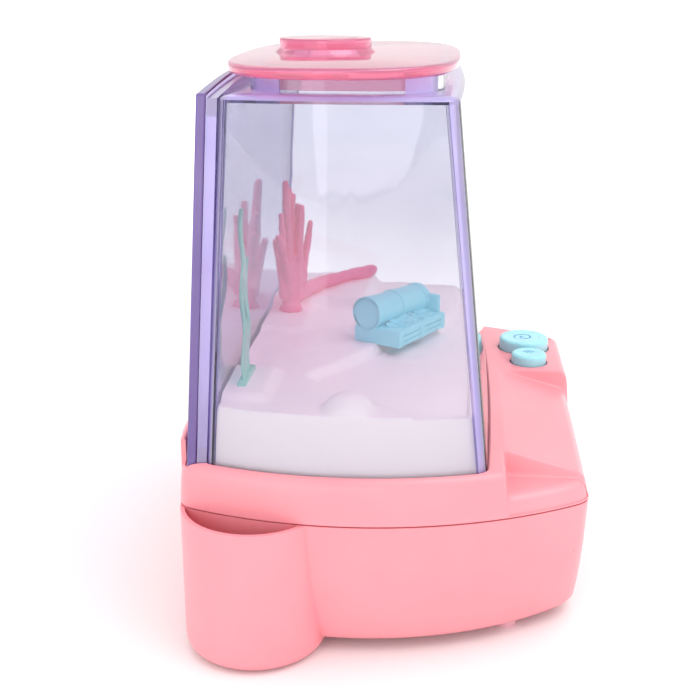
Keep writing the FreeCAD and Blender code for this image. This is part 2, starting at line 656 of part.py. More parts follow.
def button_board():
    board = box(23.5, -84.0, BOARD_Z, 75.0, -61.5, BOARD_Z + BOARD_T)
    holes = [rod(x, y, BOARD_Z - 1, BOARD_Z + 3, 1.1) for x, y in BUTTON_POSTS]
    return board.cut(Part.makeCompound(holes))


def tact_switch(xy):
    x, y = xy
    low = BOARD_Z + BOARD_T
    body = box(x - 3, y - 3, low, x + 3, y + 3, low + 3.6)
    return body.fuse(rod(x, y, low + 3.5, low + 4.6, 1.7)).removeSplitter()


def screw_down(x, y, seat, length, shank, head):
    """A screw whose head sits on seat, pointing down."""
    return fuse_all([rod(x, y, seat - length, seat + 0.2, shank), rod(x, y, seat, seat + 1.4, head)])


def screw_up(x, y, seat, length, shank, head, head_t=2.0):
    """A screw whose head sits under seat, pointing up."""
    return fuse_all([rod(x, y, seat - 0.2, seat + length, shank), rod(x, y, seat - head_t, seat, head)])


def button_board_screws():
    return Part.makeCompound([screw_up(x, y, BOARD_Z, 6.0, 0.7, 1.7, 1.2) for x, y in BUTTON_POSTS])


# ---- sound and light ----


def grille_holes():
    rings = ((0, 1), (5, 6), (10, 12))
    holes = []
    for radius, count in rings:
        for i in range(count):
            a = 2 * math.pi * i / count
            holes.append((SPEAKER_XY[0] + radius * math.cos(a), SPEAKER_XY[1] + radius * math.sin(a)))
    return holes


def main_board():
    x0, y0, x1, y1 = MAIN_BOARD
    board = box(x0, y0, MAIN_BOARD_Z, x1, y1, MAIN_BOARD_Z + BOARD_T)
    holes = [rod(x, y, MAIN_BOARD_Z - 1, MAIN_BOARD_Z + 3, 1.2) for x, y in BOARD_POSTS]
    return board.cut(Part.makeCompound(holes))


def sound_chip():
    low = MAIN_BOARD_Z + BOARD_T
    dome = Part.makeSphere(9.0, V(-22.0, -50.0, low - 6.6))
    return dome.common(box(-40, -70, low, 0, -30, low + 10))


def main_board_screws():
    seat = MAIN_BOARD_Z + BOARD_T
    return Part.makeCompound([screw_down(x, y, seat, 7.0, 0.8, 2.0) for x, y in BOARD_POSTS])


def speaker_basket():
    x, y = SPEAKER_XY
    low = SPEAKER_Z
    funnel = Part.makeCone(SPEAKER_R - 1, 12.0, 5.0, V(x, y, low + 0.8))
    body = fuse_all([rod(x, y, low, low + 1.0, SPEAKER_R), funnel])
    ears = box(x - 4, y - 25.5, low + 0.5, x + 4, y + 25.5, low + 1.5)
    hollow = Part.makeCone(SPEAKER_R - 2, 10.8, 5.2, V(x, y, low - 0.05))
    tab = box(x - 25, y - 4, low + 0.5, x - 15, y + 4, low + 1.5)
    body = fuse_all([body, ears, tab]).cut(hollow).cut(rod(x, y, low - 1, low + 0.5, SPEAKER_R - 2))
    body = body.cut(rod(x, y, low, low + 9, 8.0))
    return body.cut(Part.makeCompound([rod(px, py, low - 1, low + 3, 1.2) for px, py in SPEAKER_POSTS]))


def speaker_cone():
    x, y = SPEAKER_XY
    low = SPEAKER_Z + 0.1
    outer = Part.makeCone(SPEAKER_R - 2.2, 7.6, 3.8, V(x, y, low))
    inner = Part.makeCone(SPEAKER_R - 2.8, 7.0, 3.8, V(x, y, low - 0.4))
    return outer.cut(inner)


def speaker_magnet():
    x, y = SPEAKER_XY
    low = SPEAKER_Z + 5.8
    return fuse_all([rod(x, y, low, low + 4.5, 11.0), rod(x, y, low + 4.0, low + 5.5, 9.0)])


def speaker_screws():
    seat = SPEAKER_Z + 1.5
    return Part.makeCompound([screw_down(x, y, seat, 2.7, 0.8, 2.0) for x, y in SPEAKER_POSTS])


def light_lens():
    x, y = LIGHT_XY
    plate_low = DECK_Z - SEAT_DEPTH - 2.4
    rim = rod(x, y, plate_low - 1.4, plate_low, LENS_R + 1.6)
    return fuse_all([rim, rod(x, y, plate_low - 0.4, DECK_Z - SEAT_DEPTH - 0.2, LENS_R)])


def light_board():
    x, y = LIGHT_XY
    board = box(x - 18, y - 8, LIGHT_BOARD_Z, x + 18, y + 8, LIGHT_BOARD_Z + BOARD_T)
    holes = [rod(px, py, LIGHT_BOARD_Z - 1, LIGHT_BOARD_Z + 3, 1.1) for px, py in LIGHT_POSTS]
    return board.cut(Part.makeCompound(holes))


def led():
    x, y = LIGHT_XY
    low = LIGHT_BOARD_Z + BOARD_T
    rim = rod(x, y, low, low + 1.0, 2.9)
    dome = Part.makeSphere(2.5, V(x, y, low + 3.4))
    return fuse_all([rim, rod(x, y, low, low + 3.4, 2.5), dome])


# ---- power ----
def cell_y(index):
    return BAY_Y + (index - 1) * CELL_PITCH


def battery_cell(index):
    way = 1 if index % 2 == 0 else -1
    z = BOTTOM_Z + DOOR_T + 0.6 + CELL_R
    y = cell_y(index)
    half = CELL_L / 2
    can = Part.makeCylinder(CELL_R, CELL_L - 1.5, V(-half if way > 0 else -half + 1.5, y, z), V(1, 0, 0))
    can = can.makeFillet(0.6, can.Edges[:1] + can.Edges[2:])
    start = V(way * (half - 1.6), y, z)
    return fuse_all([can, Part.makeCylinder(2.7, 1.6, start, V(way, 0, 0))])


def contact_plates():
    plates = []
    for index in range(CELL_COUNT):
        way = 1 if index % 2 == 0 else -1
        x = 28.0 if way > 0 else -28.4
        y = cell_y(index)
        plate = box(x, y - 5, 8, x + 0.4, y + 5, 19)
        dimple = Part.makeCylinder(2.0, 3.0, V(25.05 * way, y, BOTTOM_Z + DOOR_T + 0.6 + CELL_R), V(way, 0, 0))
        plates.append(plate.fuse(dimple).removeSplitter())
    return Part.makeCompound(plates)


def contact_springs():
    springs = []
    z = BOTTOM_Z + DOOR_T + 0.6 + CELL_R
    for index in range(CELL_COUNT):
        way = -1 if index % 2 == 0 else 1
        spring = coil(0, 0, 0.0, 3.2, 3.2, 0.3, 2.5)
        spring.rotate(V(0, 0, 0), V(0, 1, 0), 90 * way)
        spring.translate(V(way * 25.1, cell_y(index), z))
        springs.append(spring)
    return Part.makeCompound(springs)


def battery_door():
    half_y = CELL_COUNT * CELL_PITCH / 2
    plate = box(-30.7, BAY_Y - half_y - 2.2, BOTTOM_Z, 30.7, BAY_Y + half_y + 2.2, BOTTOM_Z + DOOR_T)
    lugs = [rod(x, y, BOTTOM_Z, BOTTOM_Z + DOOR_T, DOOR_LUG_R) for x, y in DOOR_SCREWS]
    cuts = []
    for x, y in DOOR_SCREWS:
        cuts.append(rod(x, y, 0, 10, 1.35))
        cuts.append(rod(x, y, 0, BOTTOM_Z + 1.2, 2.6))
    for i in range(6):
        cuts.append(box(-12, BAY_Y - 10 + 4 * i, 0, 12, BAY_Y - 8.6 + 4 * i, BOTTOM_Z + 0.5))
    return fuse_all([plate] + lugs).cut(Part.makeCompound(cuts))


def battery_door_screws():
    return Part.makeCompound([screw_up(x, y, BOTTOM_Z + 1.2, 9.0, 1.2, 2.5, 1.1) for x, y in DOOR_SCREWS])


def power_switch_body():
    x, y = SWITCH_XY
    low = BOTTOM_Z + FLOOR
    ears = box(x - 12, y - 3.5, low, x + 12, y + 3.5, low + 1)
    case = fuse_all([box(x - 6.8, y - 3.5, low, x + 6.8, y + 3.5, low + 6), ears])
    slot = box(x - 5.8, y - 2.4, low - 1, x + 5.8, y + 2.4, low + 3.2)
    pins = [rod(px, y, low - 1, low + 3, SWITCH_PIN_R + 0.1) for px in (x - SWITCH_PIN, x + SWITCH_PIN)]
    return case.cut(Part.makeCompound([slot] + pins))


def power_switch_slider():
    x = SWITCH_XY[0] - SWITCH_TRAVEL / 2
    y = SWITCH_XY[1]
    low = BOTTOM_Z + FLOOR
    knob = box(x - 1.8, y - 1.7, BOTTOM_Z + 0.2, x + 1.8, y + 1.7, low + 1)
    shoe = box(x - 3.6, y - 2.2, low + 0.3, x + 3.6, y + 2.2, low + 2.9)
    return fuse_all([knob, shoe])


def case_screws():
    seat = BOSS_TOP - 3.8
    return Part.makeCompound([screw_up(x, y, seat, 15.0, 1.15, 2.8) for x, y in POST_XY])


def rubber_feet():
    return Part.makeCompound([rod(x, y, 0, BOTTOM_Z + 1.0, FOOT_R) for x, y in FEET_XY])


# ---- wires ----
def wire(points, radius=0.6, bend=5.0):
    """A round wire along straight runs joined by tangent arcs."""
    pts = [V(*p) for p in points]
    edges = []
    start = pts[0]
    for before, corner, after in zip(pts, pts[1:], pts[2:]):
        back = (before - corner).normalize()
        ahead = (after - corner).normalize()
        half = (math.pi - back.getAngle(ahead)) / 2
        cut = bend * math.tan(half)
        a = corner + back * cut
        b = corner + ahead * cut
        inward = (back + ahead).normalize()
        mid = corner + inward * (bend / math.cos(half) - bend)
        edges.append(Part.LineSegment(start, a).toShape())
        edges.append(Part.Arc(a, mid, b).toShape())
        start = b
    edges.append(Part.LineSegment(start, pts[-1]).toShape())
    ring = Part.Wire([Part.makeCircle(radius, pts[0], pts[1] - pts[0])])
    return Part.Wire(edges).makePipeShell([ring], True, False)


def twin_wire(points, gap):
    return Part.makeCompound([wire([(x + dx, y + dy, z) for x, y, z in points])
                              for dx, dy in ((0, 0), gap)])


def battery_lead():
    top = MAIN_BOARD_Z + BOARD_T
    wall = BAY_Y - CELL_COUNT * CELL_PITCH / 2 - 4.0
    return twin_wire([(-18, wall, 14), (-18, wall - 9, 14), (-18, wall - 12, 27), (-18, -34, 27),
                      (-18, -34, top)], (3, 0))


def speaker_lead():
    top = MAIN_BOARD_Z + BOARD_T
    return twin_wire([(3, -42, top), (3, -42, 28), (18, -42, 28), (18, -42, SPEAKER_Z + 1.5)], (0, 3))


def button_lead():
    top = MAIN_BOARD_Z + BOARD_T
    return twin_wire([(-4, -58, top), (-4, -58, 40), (30, -72, 46), (30, -72, BOARD_Z)], (0, 3))


def light_lead():
    top = MAIN_BOARD_Z + BOARD_T
    return twin_wire([(-36, -40, top), (-36, -40, 44), (-11, -10, 48), (-11, -10, LIGHT_BOARD_Z)], (0, 3))


NODES = {
    "lower_shell": lower_shell,
    "upper_deck": upper_deck,
    "tank_body": tank_body,
    "back_panel": back_panel,
    "tank_lid": tank_lid,
    "scenery_tray": scenery_tray,
    "seaweed": seaweed,
    "coral": coral,
    "treasure_chest": treasure_chest,
    "big_button": lambda: button(BIG_XY, BIG_R, BIG_TOP),
    "small_button": lambda: button(SMALL_XY, SMALL_R, SMALL_TOP),
    "big_button_spring": lambda: button_spring(BIG_XY, 6.5),
    "small_button_spring": lambda: button_spring(SMALL_XY, 5.4),
    "button_board": button_board,
    "button_board_screws": button_board_screws,
    "big_switch": lambda: tact_switch(BIG_XY),
    "small_switch": lambda: tact_switch(SMALL_XY),
    "main_board": main_board,
    "sound_chip": sound_chip,
    "main_board_screws": main_board_screws,
    "speaker_basket": speaker_basket,
    "speaker_cone": speaker_cone,
    "speaker_magnet": speaker_magnet,
    "speaker_screws": speaker_screws,
    "light_lens": light_lens,
    "light_board": light_board,
    "led": led,
    "battery_cell_1": lambda: battery_cell(0),
    "battery_cell_2": lambda: battery_cell(1),
    "battery_cell_3": lambda: battery_cell(2),
    "contact_plates": contact_plates,
    "contact_springs": contact_springs,
    "battery_door": battery_door,
    "battery_door_screws": battery_door_screws,
    "power_switch_body": power_switch_body,
    "power_switch_slider": power_switch_slider,
    "case_screws": case_screws,
    "rubber_feet": rubber_feet,
    "battery_lead": battery_lead,
    "speaker_lead": speaker_lead,
    "button_lead": button_lead,
    "light_lead": light_lead,
}

os.makedirs("parts", exist_ok=True)
for name, make in NODES.items():
    shape = make().translated(SHIFT)
    shape.exportStep("parts/" + name + ".step")
    print(name, len(shape.Solids), shape.isValid(), round(shape.Volume), shape.BoundBox)
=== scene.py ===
"""Toy aquarium playset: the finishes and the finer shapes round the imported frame."""

import json
import math

import bmesh
import bpy
from mathutils import Matrix, Vector, noise


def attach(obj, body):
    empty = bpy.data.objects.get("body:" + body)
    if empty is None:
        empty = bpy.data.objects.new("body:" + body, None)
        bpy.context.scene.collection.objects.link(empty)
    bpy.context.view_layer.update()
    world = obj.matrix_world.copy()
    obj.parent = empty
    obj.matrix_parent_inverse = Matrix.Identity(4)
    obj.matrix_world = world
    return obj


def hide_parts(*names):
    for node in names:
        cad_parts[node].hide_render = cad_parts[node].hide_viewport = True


bl_info = {
    "name": "Toy Aquarium",
    "version": (1, 0, 0),
    "blender": (4, 5, 0),
    "location": "View3D > Sidebar > Aquarium",
    "description": "Builds a moulded toy aquarium with its scenery, buttons and lid",
    "category": "Object",
}

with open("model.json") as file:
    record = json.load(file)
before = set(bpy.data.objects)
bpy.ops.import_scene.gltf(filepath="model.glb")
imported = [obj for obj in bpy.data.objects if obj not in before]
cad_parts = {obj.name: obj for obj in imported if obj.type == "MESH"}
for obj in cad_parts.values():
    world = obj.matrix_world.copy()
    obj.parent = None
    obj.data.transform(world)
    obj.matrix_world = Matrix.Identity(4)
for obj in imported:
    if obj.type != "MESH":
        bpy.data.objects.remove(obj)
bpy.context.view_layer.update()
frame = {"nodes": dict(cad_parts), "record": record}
NODES = frame["nodes"]

MM = 0.001
# the toy is drawn about its own middle plane; this is the middle of its footprint (mm)
SHIFT_X = 4.85
SHIFT_Y = 11.35

# base (mm)
SIDE_X = 104.9
SIDE_R = 156.7
FRONT_Y = -92.0
FRONT_R = 6000.0
BACK_Y = 69.3
BACK_R = 437.0
CORNER_FRONT = 9.0
CORNER_BACK = 8.0
DECK_Z = 74.5
# height, inset and share of the console's drop of each row of the deck's edge
DECK_ROWS = (
    (74.5, 4.8, 1.0), (74.45, 4.3, 1.0), (74.2, 3.5, 1.0), (73.7, 2.7, 1.0), (73.0, 2.0, 1.0),
    (72.0, 1.45, 1.0), (70.6, 1.05, 1.0), (69.0, 0.8, 1.0), (66.0, 0.5, 0.8), (63.0, 0.25, 0.5),
    (60.0, 0.1, 0.18), (57.6, 0.0, 0.0),
)
STEP_Y = -60.0
WEDGE_LEFT = -70.0
WEDGE_RIGHT = 23.0
WEDGE_DROP = 0.283
SHELF_DROP = 10.0
# a rounded step: distance from the wall (mm) and share of the step's height
STEP_CURVE = (
    (-2.2, 0.0), (-1.3, 0.015), (-0.8, 0.06), (-0.45, 0.14), (-0.3, 0.24), (0.3, 0.76), (0.45, 0.86),
    (0.8, 0.94), (1.3, 0.985), (2.2, 1.0),
)

# tank (mm)
TANK_LOW = 72.5
TANK_REAR = 49.6
TANK_WALL = 2.5
RIM_X = 67.0
SHOULDER_Z = 204.0
TRAY_FLOOR = 92.0
TRAY_RIM = 94.5
TRAY_LOW = 72.8
TERRACE_Z = 95.5
TERRACE_EDGE = ((-99, -30), (-72, -8), (-53, 15), (-30, 3), (-6, -11), (21, -33), (60, -40), (99, -42))

# flat-topped rises (two corners, height) and a half-sunk boulder (centre, radius) of the sea floor
RISES = ((-84, 26, -44, 60, 98.0), (4, 22, 64, 60, 97.0), (40, -2, 110, 60, 100.5))
BOULDER = (-85.5, -2.5, 90.5, 11.0)


# ---- small helpers ----
def at(x, y, z):
    """A point of the toy's own drawing, in metres in the frame."""
    return Vector(((x + SHIFT_X) * MM, (y + SHIFT_Y) * MM, z * MM))


def step(distance):
    """The rounded step's share at a distance past its wall."""
    if distance <= STEP_CURVE[0][0]:
        return 0.0
    for (x0, s0), (x1, s1) in zip(STEP_CURVE, STEP_CURVE[1:]):
        if distance <= x1:
            return s0 + (s1 - s0) * (distance - x0) / (x1 - x0)
    return 1.0


def blend(low, high, value):
    """0 below low, 1 above high and a smooth rise between them."""
    share = min(1.0, max(0.0, (value - low) / (high - low)))
    return share * share * (3 - 2 * share)


def linear(code):
    """The linear colour of an sRGB hex value."""
    parts = [int(code[i:i + 2], 16) / 255 for i in (1, 3, 5)]
    curved = [c / 12.92 if c <= 0.04045 else ((c + 0.055) / 1.055) ** 2.4 for c in parts]
    return (*curved, 1.0)


def only(obj):
    """Selects one object alone."""
    bpy.ops.object.select_all(action="DESELECT")
    bpy.context.view_layer.objects.active = obj
    obj.select_set(True)


def edit(obj, action="SELECT", kind=None):
    """Opens one mesh for editing, with all or none of it selected."""
    only(obj)
    bpy.ops.object.mode_set(mode="EDIT")
    if kind:
        bpy.ops.mesh.select_mode(type=kind)
    bpy.ops.mesh.select_all(action=action)


def leave():
    """Closes the mesh that is being edited."""
    bpy.ops.object.mode_set(mode="OBJECT")


def named(name):
    """Takes the primitive that was just added."""
    obj = bpy.context.object
    obj.name = name
    obj.data.name = name
    return obj


def settle(obj):
    """Puts the object's place into its mesh."""
    only(obj)
    bpy.ops.object.transform_apply(location=True, rotation=True, scale=True)
    return obj


def modify(obj, kind, **settings):
    """Adds one modifier, sets it and applies it."""
    only(obj)
    made = obj.modifiers.new(kind.lower(), kind)
    for key, value in settings.items():
        setattr(made, key, value)
    bpy.ops.object.modifier_apply(modifier=made.name)
    return obj


def smooth(obj, degrees=32.0):
    only(obj)
    bpy.ops.object.shade_smooth_by_angle(angle=math.radians(degrees))
    return obj


def joined(objs, name):
    bpy.ops.object.select_all(action="DESELECT")
    for obj in objs:
        obj.select_set(True)
    bpy.context.view_layer.objects.active = objs[0]
    bpy.ops.object.join()
    return named(name)


def finish(obj, node_names, body, slot, look=None):
    """Gives a piece its finish, body and replaced nodes; look names a finish other than its slot's."""
    obj.data.materials.clear()
    obj.data.materials.append(finish_of(look or slot))
    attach(obj, body)
    if node_names:
        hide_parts(*node_names)
    return obj


def faced(obj, chosen, material):
    """Gives a second material to the faces chosen by their normal and their centre."""
    obj.data.materials.append(material)
    for face in obj.data.polygons:
        if chosen(face.normal, face.center):
            face.material_index = len(obj.data.materials) - 1


def extend(obj, ring, rows):
    """Extrudes a loop of vertices row by row; ring holds their indices, rows the new places."""
    edit(obj, "DESELECT", "EDGE")
    mesh = bmesh.from_edit_mesh(obj.data)
    mesh.verts.ensure_lookup_table()
    count = len(ring)
    for k in range(count):
        pair = (mesh.verts[ring[k]], mesh.verts[ring[(k + 1) % count]])
        mesh.edges.get(pair).select_set(True)
    bmesh.update_edit_mesh(obj.data)
    for row in rows:
        order = {index: k for k, index in enumerate(ring)}
        bpy.ops.mesh.extrude_edges_move()
        mesh = bmesh.from_edit_mesh(obj.data)
        mesh.verts.index_update()
        fresh = [None] * count
        for vert in mesh.verts:
            if not vert.select:
                continue
            for edge in vert.link_edges:
                k = order.get(edge.other_vert(vert).index)
                if k is not None and not edge.select:
                    fresh[k] = vert.index
                    vert.co = row[k]
        ring = fresh
        bmesh.update_edit_mesh(obj.data)
    leave()
    return ring


def fill(obj, ring):
    """Closes a loop of vertices with one face."""
    edit(obj, "DESELECT", "VERT")
    mesh = bmesh.from_edit_mesh(obj.data)
    mesh.verts.ensure_lookup_table()
    for index in ring:
        mesh.verts[index].select_set(True)
    mesh.select_flush(True)
    bmesh.update_edit_mesh(obj.data)
    bpy.ops.mesh.edge_face_add()
    leave()


def outwards(obj):
    edit(obj)
    bpy.ops.mesh.remove_doubles(threshold=1e-6)
    bpy.ops.mesh.normals_make_consistent(inside=False)
    leave()
    return obj


def loft(name, rings, closed=True):
    """A circle shaped into the first ring and extruded through the others."""
    count = len(rings[0])
    bpy.ops.mesh.primitive_circle_add(vertices=count, radius=0.01)
    obj = named(name)
    for vert, place in zip(obj.data.vertices, rings[0]):
        vert.co = place
    first = list(range(count))
    last = extend(obj, first, rings[1:])
    if closed:
        fill(obj, first)
        fill(obj, last)
    return outwards(obj)


def cut(obj, cutter, operation="DIFFERENCE"):
    only(obj)
    modify(obj, "BOOLEAN", operation=operation, object=cutter, solver="MANIFOLD")
    bpy.data.objects.remove(cutter)
    return obj


def welded(node, name, degrees=28.0):
    """A merged copy of a CAD node, with smooth curved faces."""
    obj = bpy.data.objects.new(name, NODES[node].data.copy())
    bpy.context.scene.collection.objects.link(obj)
    only(obj)
    bpy.ops.mesh.customdata_custom_splitnormals_clear()
    edit(obj)
    bpy.ops.mesh.remove_doubles(threshold=2e-6)
    bpy.ops.mesh.dissolve_degenerate(threshold=1e-6)
    leave()
    return smooth(obj, degrees)


# ---- outlines ----
class Outline:
    """A closed plan outline of four bowed edges and tangent corners, in mm."""

    def __init__(self, side_x, side_r, front_y, front_r, back_y, back_r, corner_f, corner_b):
        self.side_x, self.side_r = side_x, side_r
        self.front_y, self.front_r = front_y, front_r
        self.back_y, self.back_r = back_y, back_r
        self.corners = {
            -1: self.corner((0.0, front_y + front_r), front_r, corner_f),
            1: self.corner((0.0, back_y - back_r), back_r, corner_b),
        }

    def corner(self, far, far_r, radius):
        """Centre and radius of a left corner, with its tangent points on the far edge and the side."""
        side = (self.side_r - self.side_x, 0.0)
        ra = self.side_r - radius
        rb = far_r - radius
        gap = math.hypot(far[0] - side[0], far[1] - side[1])
        along = (ra * ra - rb * rb + gap * gap) / (2 * gap)
        across = math.sqrt(ra * ra - along * along)
        ux = (far[0] - side[0]) / gap
        uy = (far[1] - side[1]) / gap
        mids = [(side[0] + along * ux + s * across * uy, side[1] + along * uy - s * across * ux)
                for s in (1, -1)]
        mid = min(mids)
        on_far = self.towards(far, mid, far_r)
        on_side = self.towards(side, mid, self.side_r)
        return mid, radius, on_far, on_side

    @staticmethod
    def towards(centre, point, radius):
        reach = math.hypot(point[0] - centre[0], point[1] - centre[1])
        return tuple(c + (p - c) * radius / reach for c, p in zip(centre, point))

    def far(self, end, x):
        """Y of the front (end -1) or back (end 1) edge at x."""
        if end < 0:
            return self.front_y + self.front_r - math.sqrt(self.front_r ** 2 - x * x)
        return self.back_y - self.back_r + math.sqrt(self.back_r ** 2 - x * x)

    def side(self, y):
        """Half width at y."""
        return self.side_x - self.side_r + math.sqrt(self.side_r ** 2 - y * y)

    def arc(self, end, count):
        """Points of a left corner from its far edge to its side."""
        mid, radius, on_far, on_side = self.corners[end]
        a0 = math.atan2(on_far[1] - mid[1], on_far[0] - mid[0])
        a1 = math.atan2(on_side[1] - mid[1], on_side[0] - mid[0])
        while a1 - a0 > math.pi:
            a1 -= 2 * math.pi
        while a1 - a0 < -math.pi:
            a1 += 2 * math.pi
        angles = [a0 + (a1 - a0) * i / count for i in range(count + 1)]
        return [(mid[0] + radius * math.cos(a), mid[1] + radius * math.sin(a)) for a in angles]

    def ring(self, corner_steps=6, edge_steps=24):
        """The whole outline as points, anticlockwise from the left of the front edge."""
        front = self.arc(-1, corner_steps)
        back = self.arc(1, corner_steps)
        x0 = front[0][0]
        xs = [x0 - 2 * x0 * i / edge_steps for i in range(edge_steps + 1)]
        loop = [(x, self.far(-1, x)) for x in xs]
        loop += [(-x, y) for x, y in front[1:]]
        y0, y1 = front[-1][1], back[-1][1]
        ys = [y0 + (y1 - y0) * i / edge_steps for i in range(1, edge_steps)]
        loop += [(self.side(y), y) for y in ys]
        loop += [(-x, y) for x, y in reversed(back)]
        x0 = -back[0][0]
        xs = [x0 - 2 * x0 * i / edge_steps for i in range(1, edge_steps)]
        loop += [(x, self.far(1, x)) for x in xs]
        loop += back
        loop += [(-self.side(y), y) for y in reversed(ys)]
        loop += list(reversed(front))[:-1]
        return loop


def resampled(path, count):
    """count + 1 evenly spaced points of a path."""
    lengths = [0.0]
    for a, b in zip(path, path[1:]):
        lengths.append(lengths[-1] + math.dist(a, b))
    out = []
    k = 0
    for i in range(count + 1):
        want = lengths[-1] * i / count
        while k < len(path) - 2 and lengths[k + 1] < want:
            k += 1
        share = (want - lengths[k]) / (lengths[k + 1] - lengths[k])
        out.append(tuple(p + (q - p) * share for p, q in zip(path[k], path[k + 1])))
    return out


class Net:
    """A grid of points that fills an outline: xs and ys are its straight lines, and outer its bent ones."""

    def __init__(self, xs, ys, outer=7):
        self.xs, self.ys, self.outer = xs, ys, outer
        self.columns = len(xs) + 2 * outer
        self.rows = len(ys) + 2 * outer

    def edges(self, outline):
        """The grid's four sides on an outline, each a list of points."""
        x0, y0, y1 = self.xs[0], self.ys[0], self.ys[-1]
        sides = {}
        for end, y_near in ((-1, y0), (1, y1)):
            arc = outline.arc(end, 16)
            tangent = arc[0][0]
            lead = [x0 + (tangent - x0) * i / 8 for i in range(8)]
            to_mid = [(x, outline.far(end, x)) for x in lead] + arc[:9]
            y_side = arc[-1][1]
            tail = [y_side + (y_near - y_side) * i / 8 for i in range(1, 9)]
            from_mid = arc[8:] + [(-outline.side(y), y) for y in tail]
            sides[end] = (resampled(to_mid, self.outer)[::-1], resampled(from_mid, self.outer))
        far = {}
        for end in (-1, 1):
            left = sides[end][0][:-1]
            middle = [(x, outline.far(end, x)) for x in self.xs]
            right = [(-x, y) for x, y in reversed(left)]
            far[end] = left + middle + right
        left = sides[-1][1][:-1] + [(-outline.side(y), y) for y in self.ys] + sides[1][1][::-1][1:]
        right = [(-x, y) for x, y in left]
        return far[-1], far[1], left, right

    def loop(self, outline):
        """The grid's border on an outline, anticlockwise from its first corner."""
        front, back, left, right = self.edges(outline)
        return front + right[1:] + back[::-1][1:] + left[::-1][1:-1]

    def border(self):
        """Indices of the border's vertices in the same order."""
        w, h = self.columns, self.rows
        front = [i for i in range(w)]
        right = [j * w + w - 1 for j in range(1, h)]
        back = [(h - 1) * w + i for i in range(w - 2, -1, -1)]
        left = [j * w for j in range(h - 2, 0, -1)]
        return front + right + back + left

    def points(self, outline):
        """All the grid's points, row by row."""
        front, back, left, right = self.edges(outline)
        w, h, n = self.columns, self.rows, self.outer
        xa, xb, ya, yb = self.xs[0], self.xs[-1], self.ys[0], self.ys[-1]
        out = []
        for j in range(h):
            for i in range(w):
                if j in (0, h - 1) or i in (0, w - 1):
                    edge = front if j == 0 else back if j == h - 1 else None
                    out.append(edge[i] if edge else (left[j] if i == 0 else right[j]))
                    continue
                in_x = n <= i < w - n
                in_y = n <= j < h - n
                x_line = self.xs[i - n] if in_x else (xa if i < n else xb)
                y_line = self.ys[j - n] if in_y else (ya if j < n else yb)
                t = 1.0 if in_x else (i / n if i < n else (w - 1 - i) / n)
                s = 1.0 if in_y else (j / n if j < n else (h - 1 - j) / n)
                far = front if j < h / 2 else back
                side = left if i < w / 2 else right
                if in_x:
                    out.append((x_line, far[i][1] + (y_line - far[i][1]) * s))
                elif in_y:
                    out.append((side[j][0] + (x_line - side[j][0]) * t, y_line))
                else:
                    corner_j = n if j < n else h - 1 - n
                    corner_i = n if i < n else w - 1 - n
                    base = side[corner_j][0]
                    inner_row = (base + (x_line - base) * t, y_line)
                    start = far[corner_i][1]
                    inner_col = (x_line, start + (y_line - start) * s)
                    p00 = far[0] if i < n else far[-1]
                    p10 = far[corner_i]
                    p01 = side[corner_j]
                    p11 = (x_line, y_line)
                    point = []
                    for c in (0, 1):
                        value = ((1 - s) * far[i][c] + s * inner_row[c] + (1 - t) * side[j][c]
                                 + t * inner_col[c])
                        value -= (1 - s) * (1 - t) * p00[c] + (1 - s) * t * p10[c]
                        value -= s * (1 - t) * p01[c] + s * t * p11[c]
                        point.append(value)
                    out.append(tuple(point))
        return out


def sheet_body(name, net, top, rows, height, drop):
    """A grid primitive laid over an outline, with its border extruded down through rows of outlines."""
    bpy.ops.mesh.primitive_grid_add(x_subdivisions=net.columns - 1, y_subdivisions=net.rows - 1, size=0.1)
    obj = named(name)
    for vert, (x, y) in zip(obj.data.vertices, net.points(top)):
        vert.co = at(x, y, height(x, y))
    places = []
    for outline, z, share in rows:
        places.append([at(x, y, z - drop(x, y) * share) for x, y in net.loop(outline)])
    return obj, extend(obj, net.border(), places)


def spread(start, end, pitch):
    """Evenly spaced lines from start to end, about pitch apart."""
    count = max(1, round((end - start) / pitch))
    return [start + (end - start) * i / count for i in range(count + 1)]


def lines(start, end, walls, pitch):
    """Grid lines from start to end, with the rounded step's stations at each wall."""
    out = [start]
    here = start
    for wall in walls:
        stations = [wall + d for d, _ in STEP_CURVE]
        out += spread(here, stations[0], pitch)[1:] + stations[1:]
        here = stations[-1]
    return out + spread(here, end, pitch)[1:]


# ---- finishes ----
def add(tree, kind, values=None, **settings):
    """Adds one shader node; values are its inputs by name or number, constants or sockets."""
    made = tree.nodes.new(kind)
    for key, value in settings.items():
        setattr(made, key, value)
    for key, value in (values or {}).items():
        if isinstance(value, bpy.types.NodeSocket):
            tree.links.new(value, made.inputs[key])
        else:
            made.inputs[key].default_value = value
    return made


def blank(name):
    """A material with an empty node tree; returns it, the tree and its object coordinates in mm."""
    material = bpy.data.materials.new(name)
    material.use_nodes = True
    tree = material.node_tree
    tree.nodes.clear()
    coords = add(tree, "ShaderNodeTexCoord")
    scaled = add(tree, "ShaderNodeVectorMath", {0: coords.outputs["Object"], 3: 1 / MM}, operation="SCALE")
    return material, tree, scaled.outputs[0]


def shades(tree, mask, low, high):
    """A mix of two colours, hex or sockets, by a mask."""
    low, high = (linear(colour) if isinstance(colour, str) else colour for colour in (low, high))
    return add(tree, "ShaderNodeMix", {0: mask, 6: low, 7: high}, data_type="RGBA").outputs[2]


def ranged(tree, mask, low, high):
    """A mask between 0 and 1 spread over low to high."""
    return add(tree, "ShaderNodeMapRange", {0: mask, 3: low, 4: high}).outputs[0]


def specks(tree, coords, size, detail=2.0):
    """Noise whose patches are about size mm across."""
    values = {"Vector": coords, "Scale": 1 / size, "Detail": detail}
    return add(tree, "ShaderNodeTexNoise", values).outputs[0]


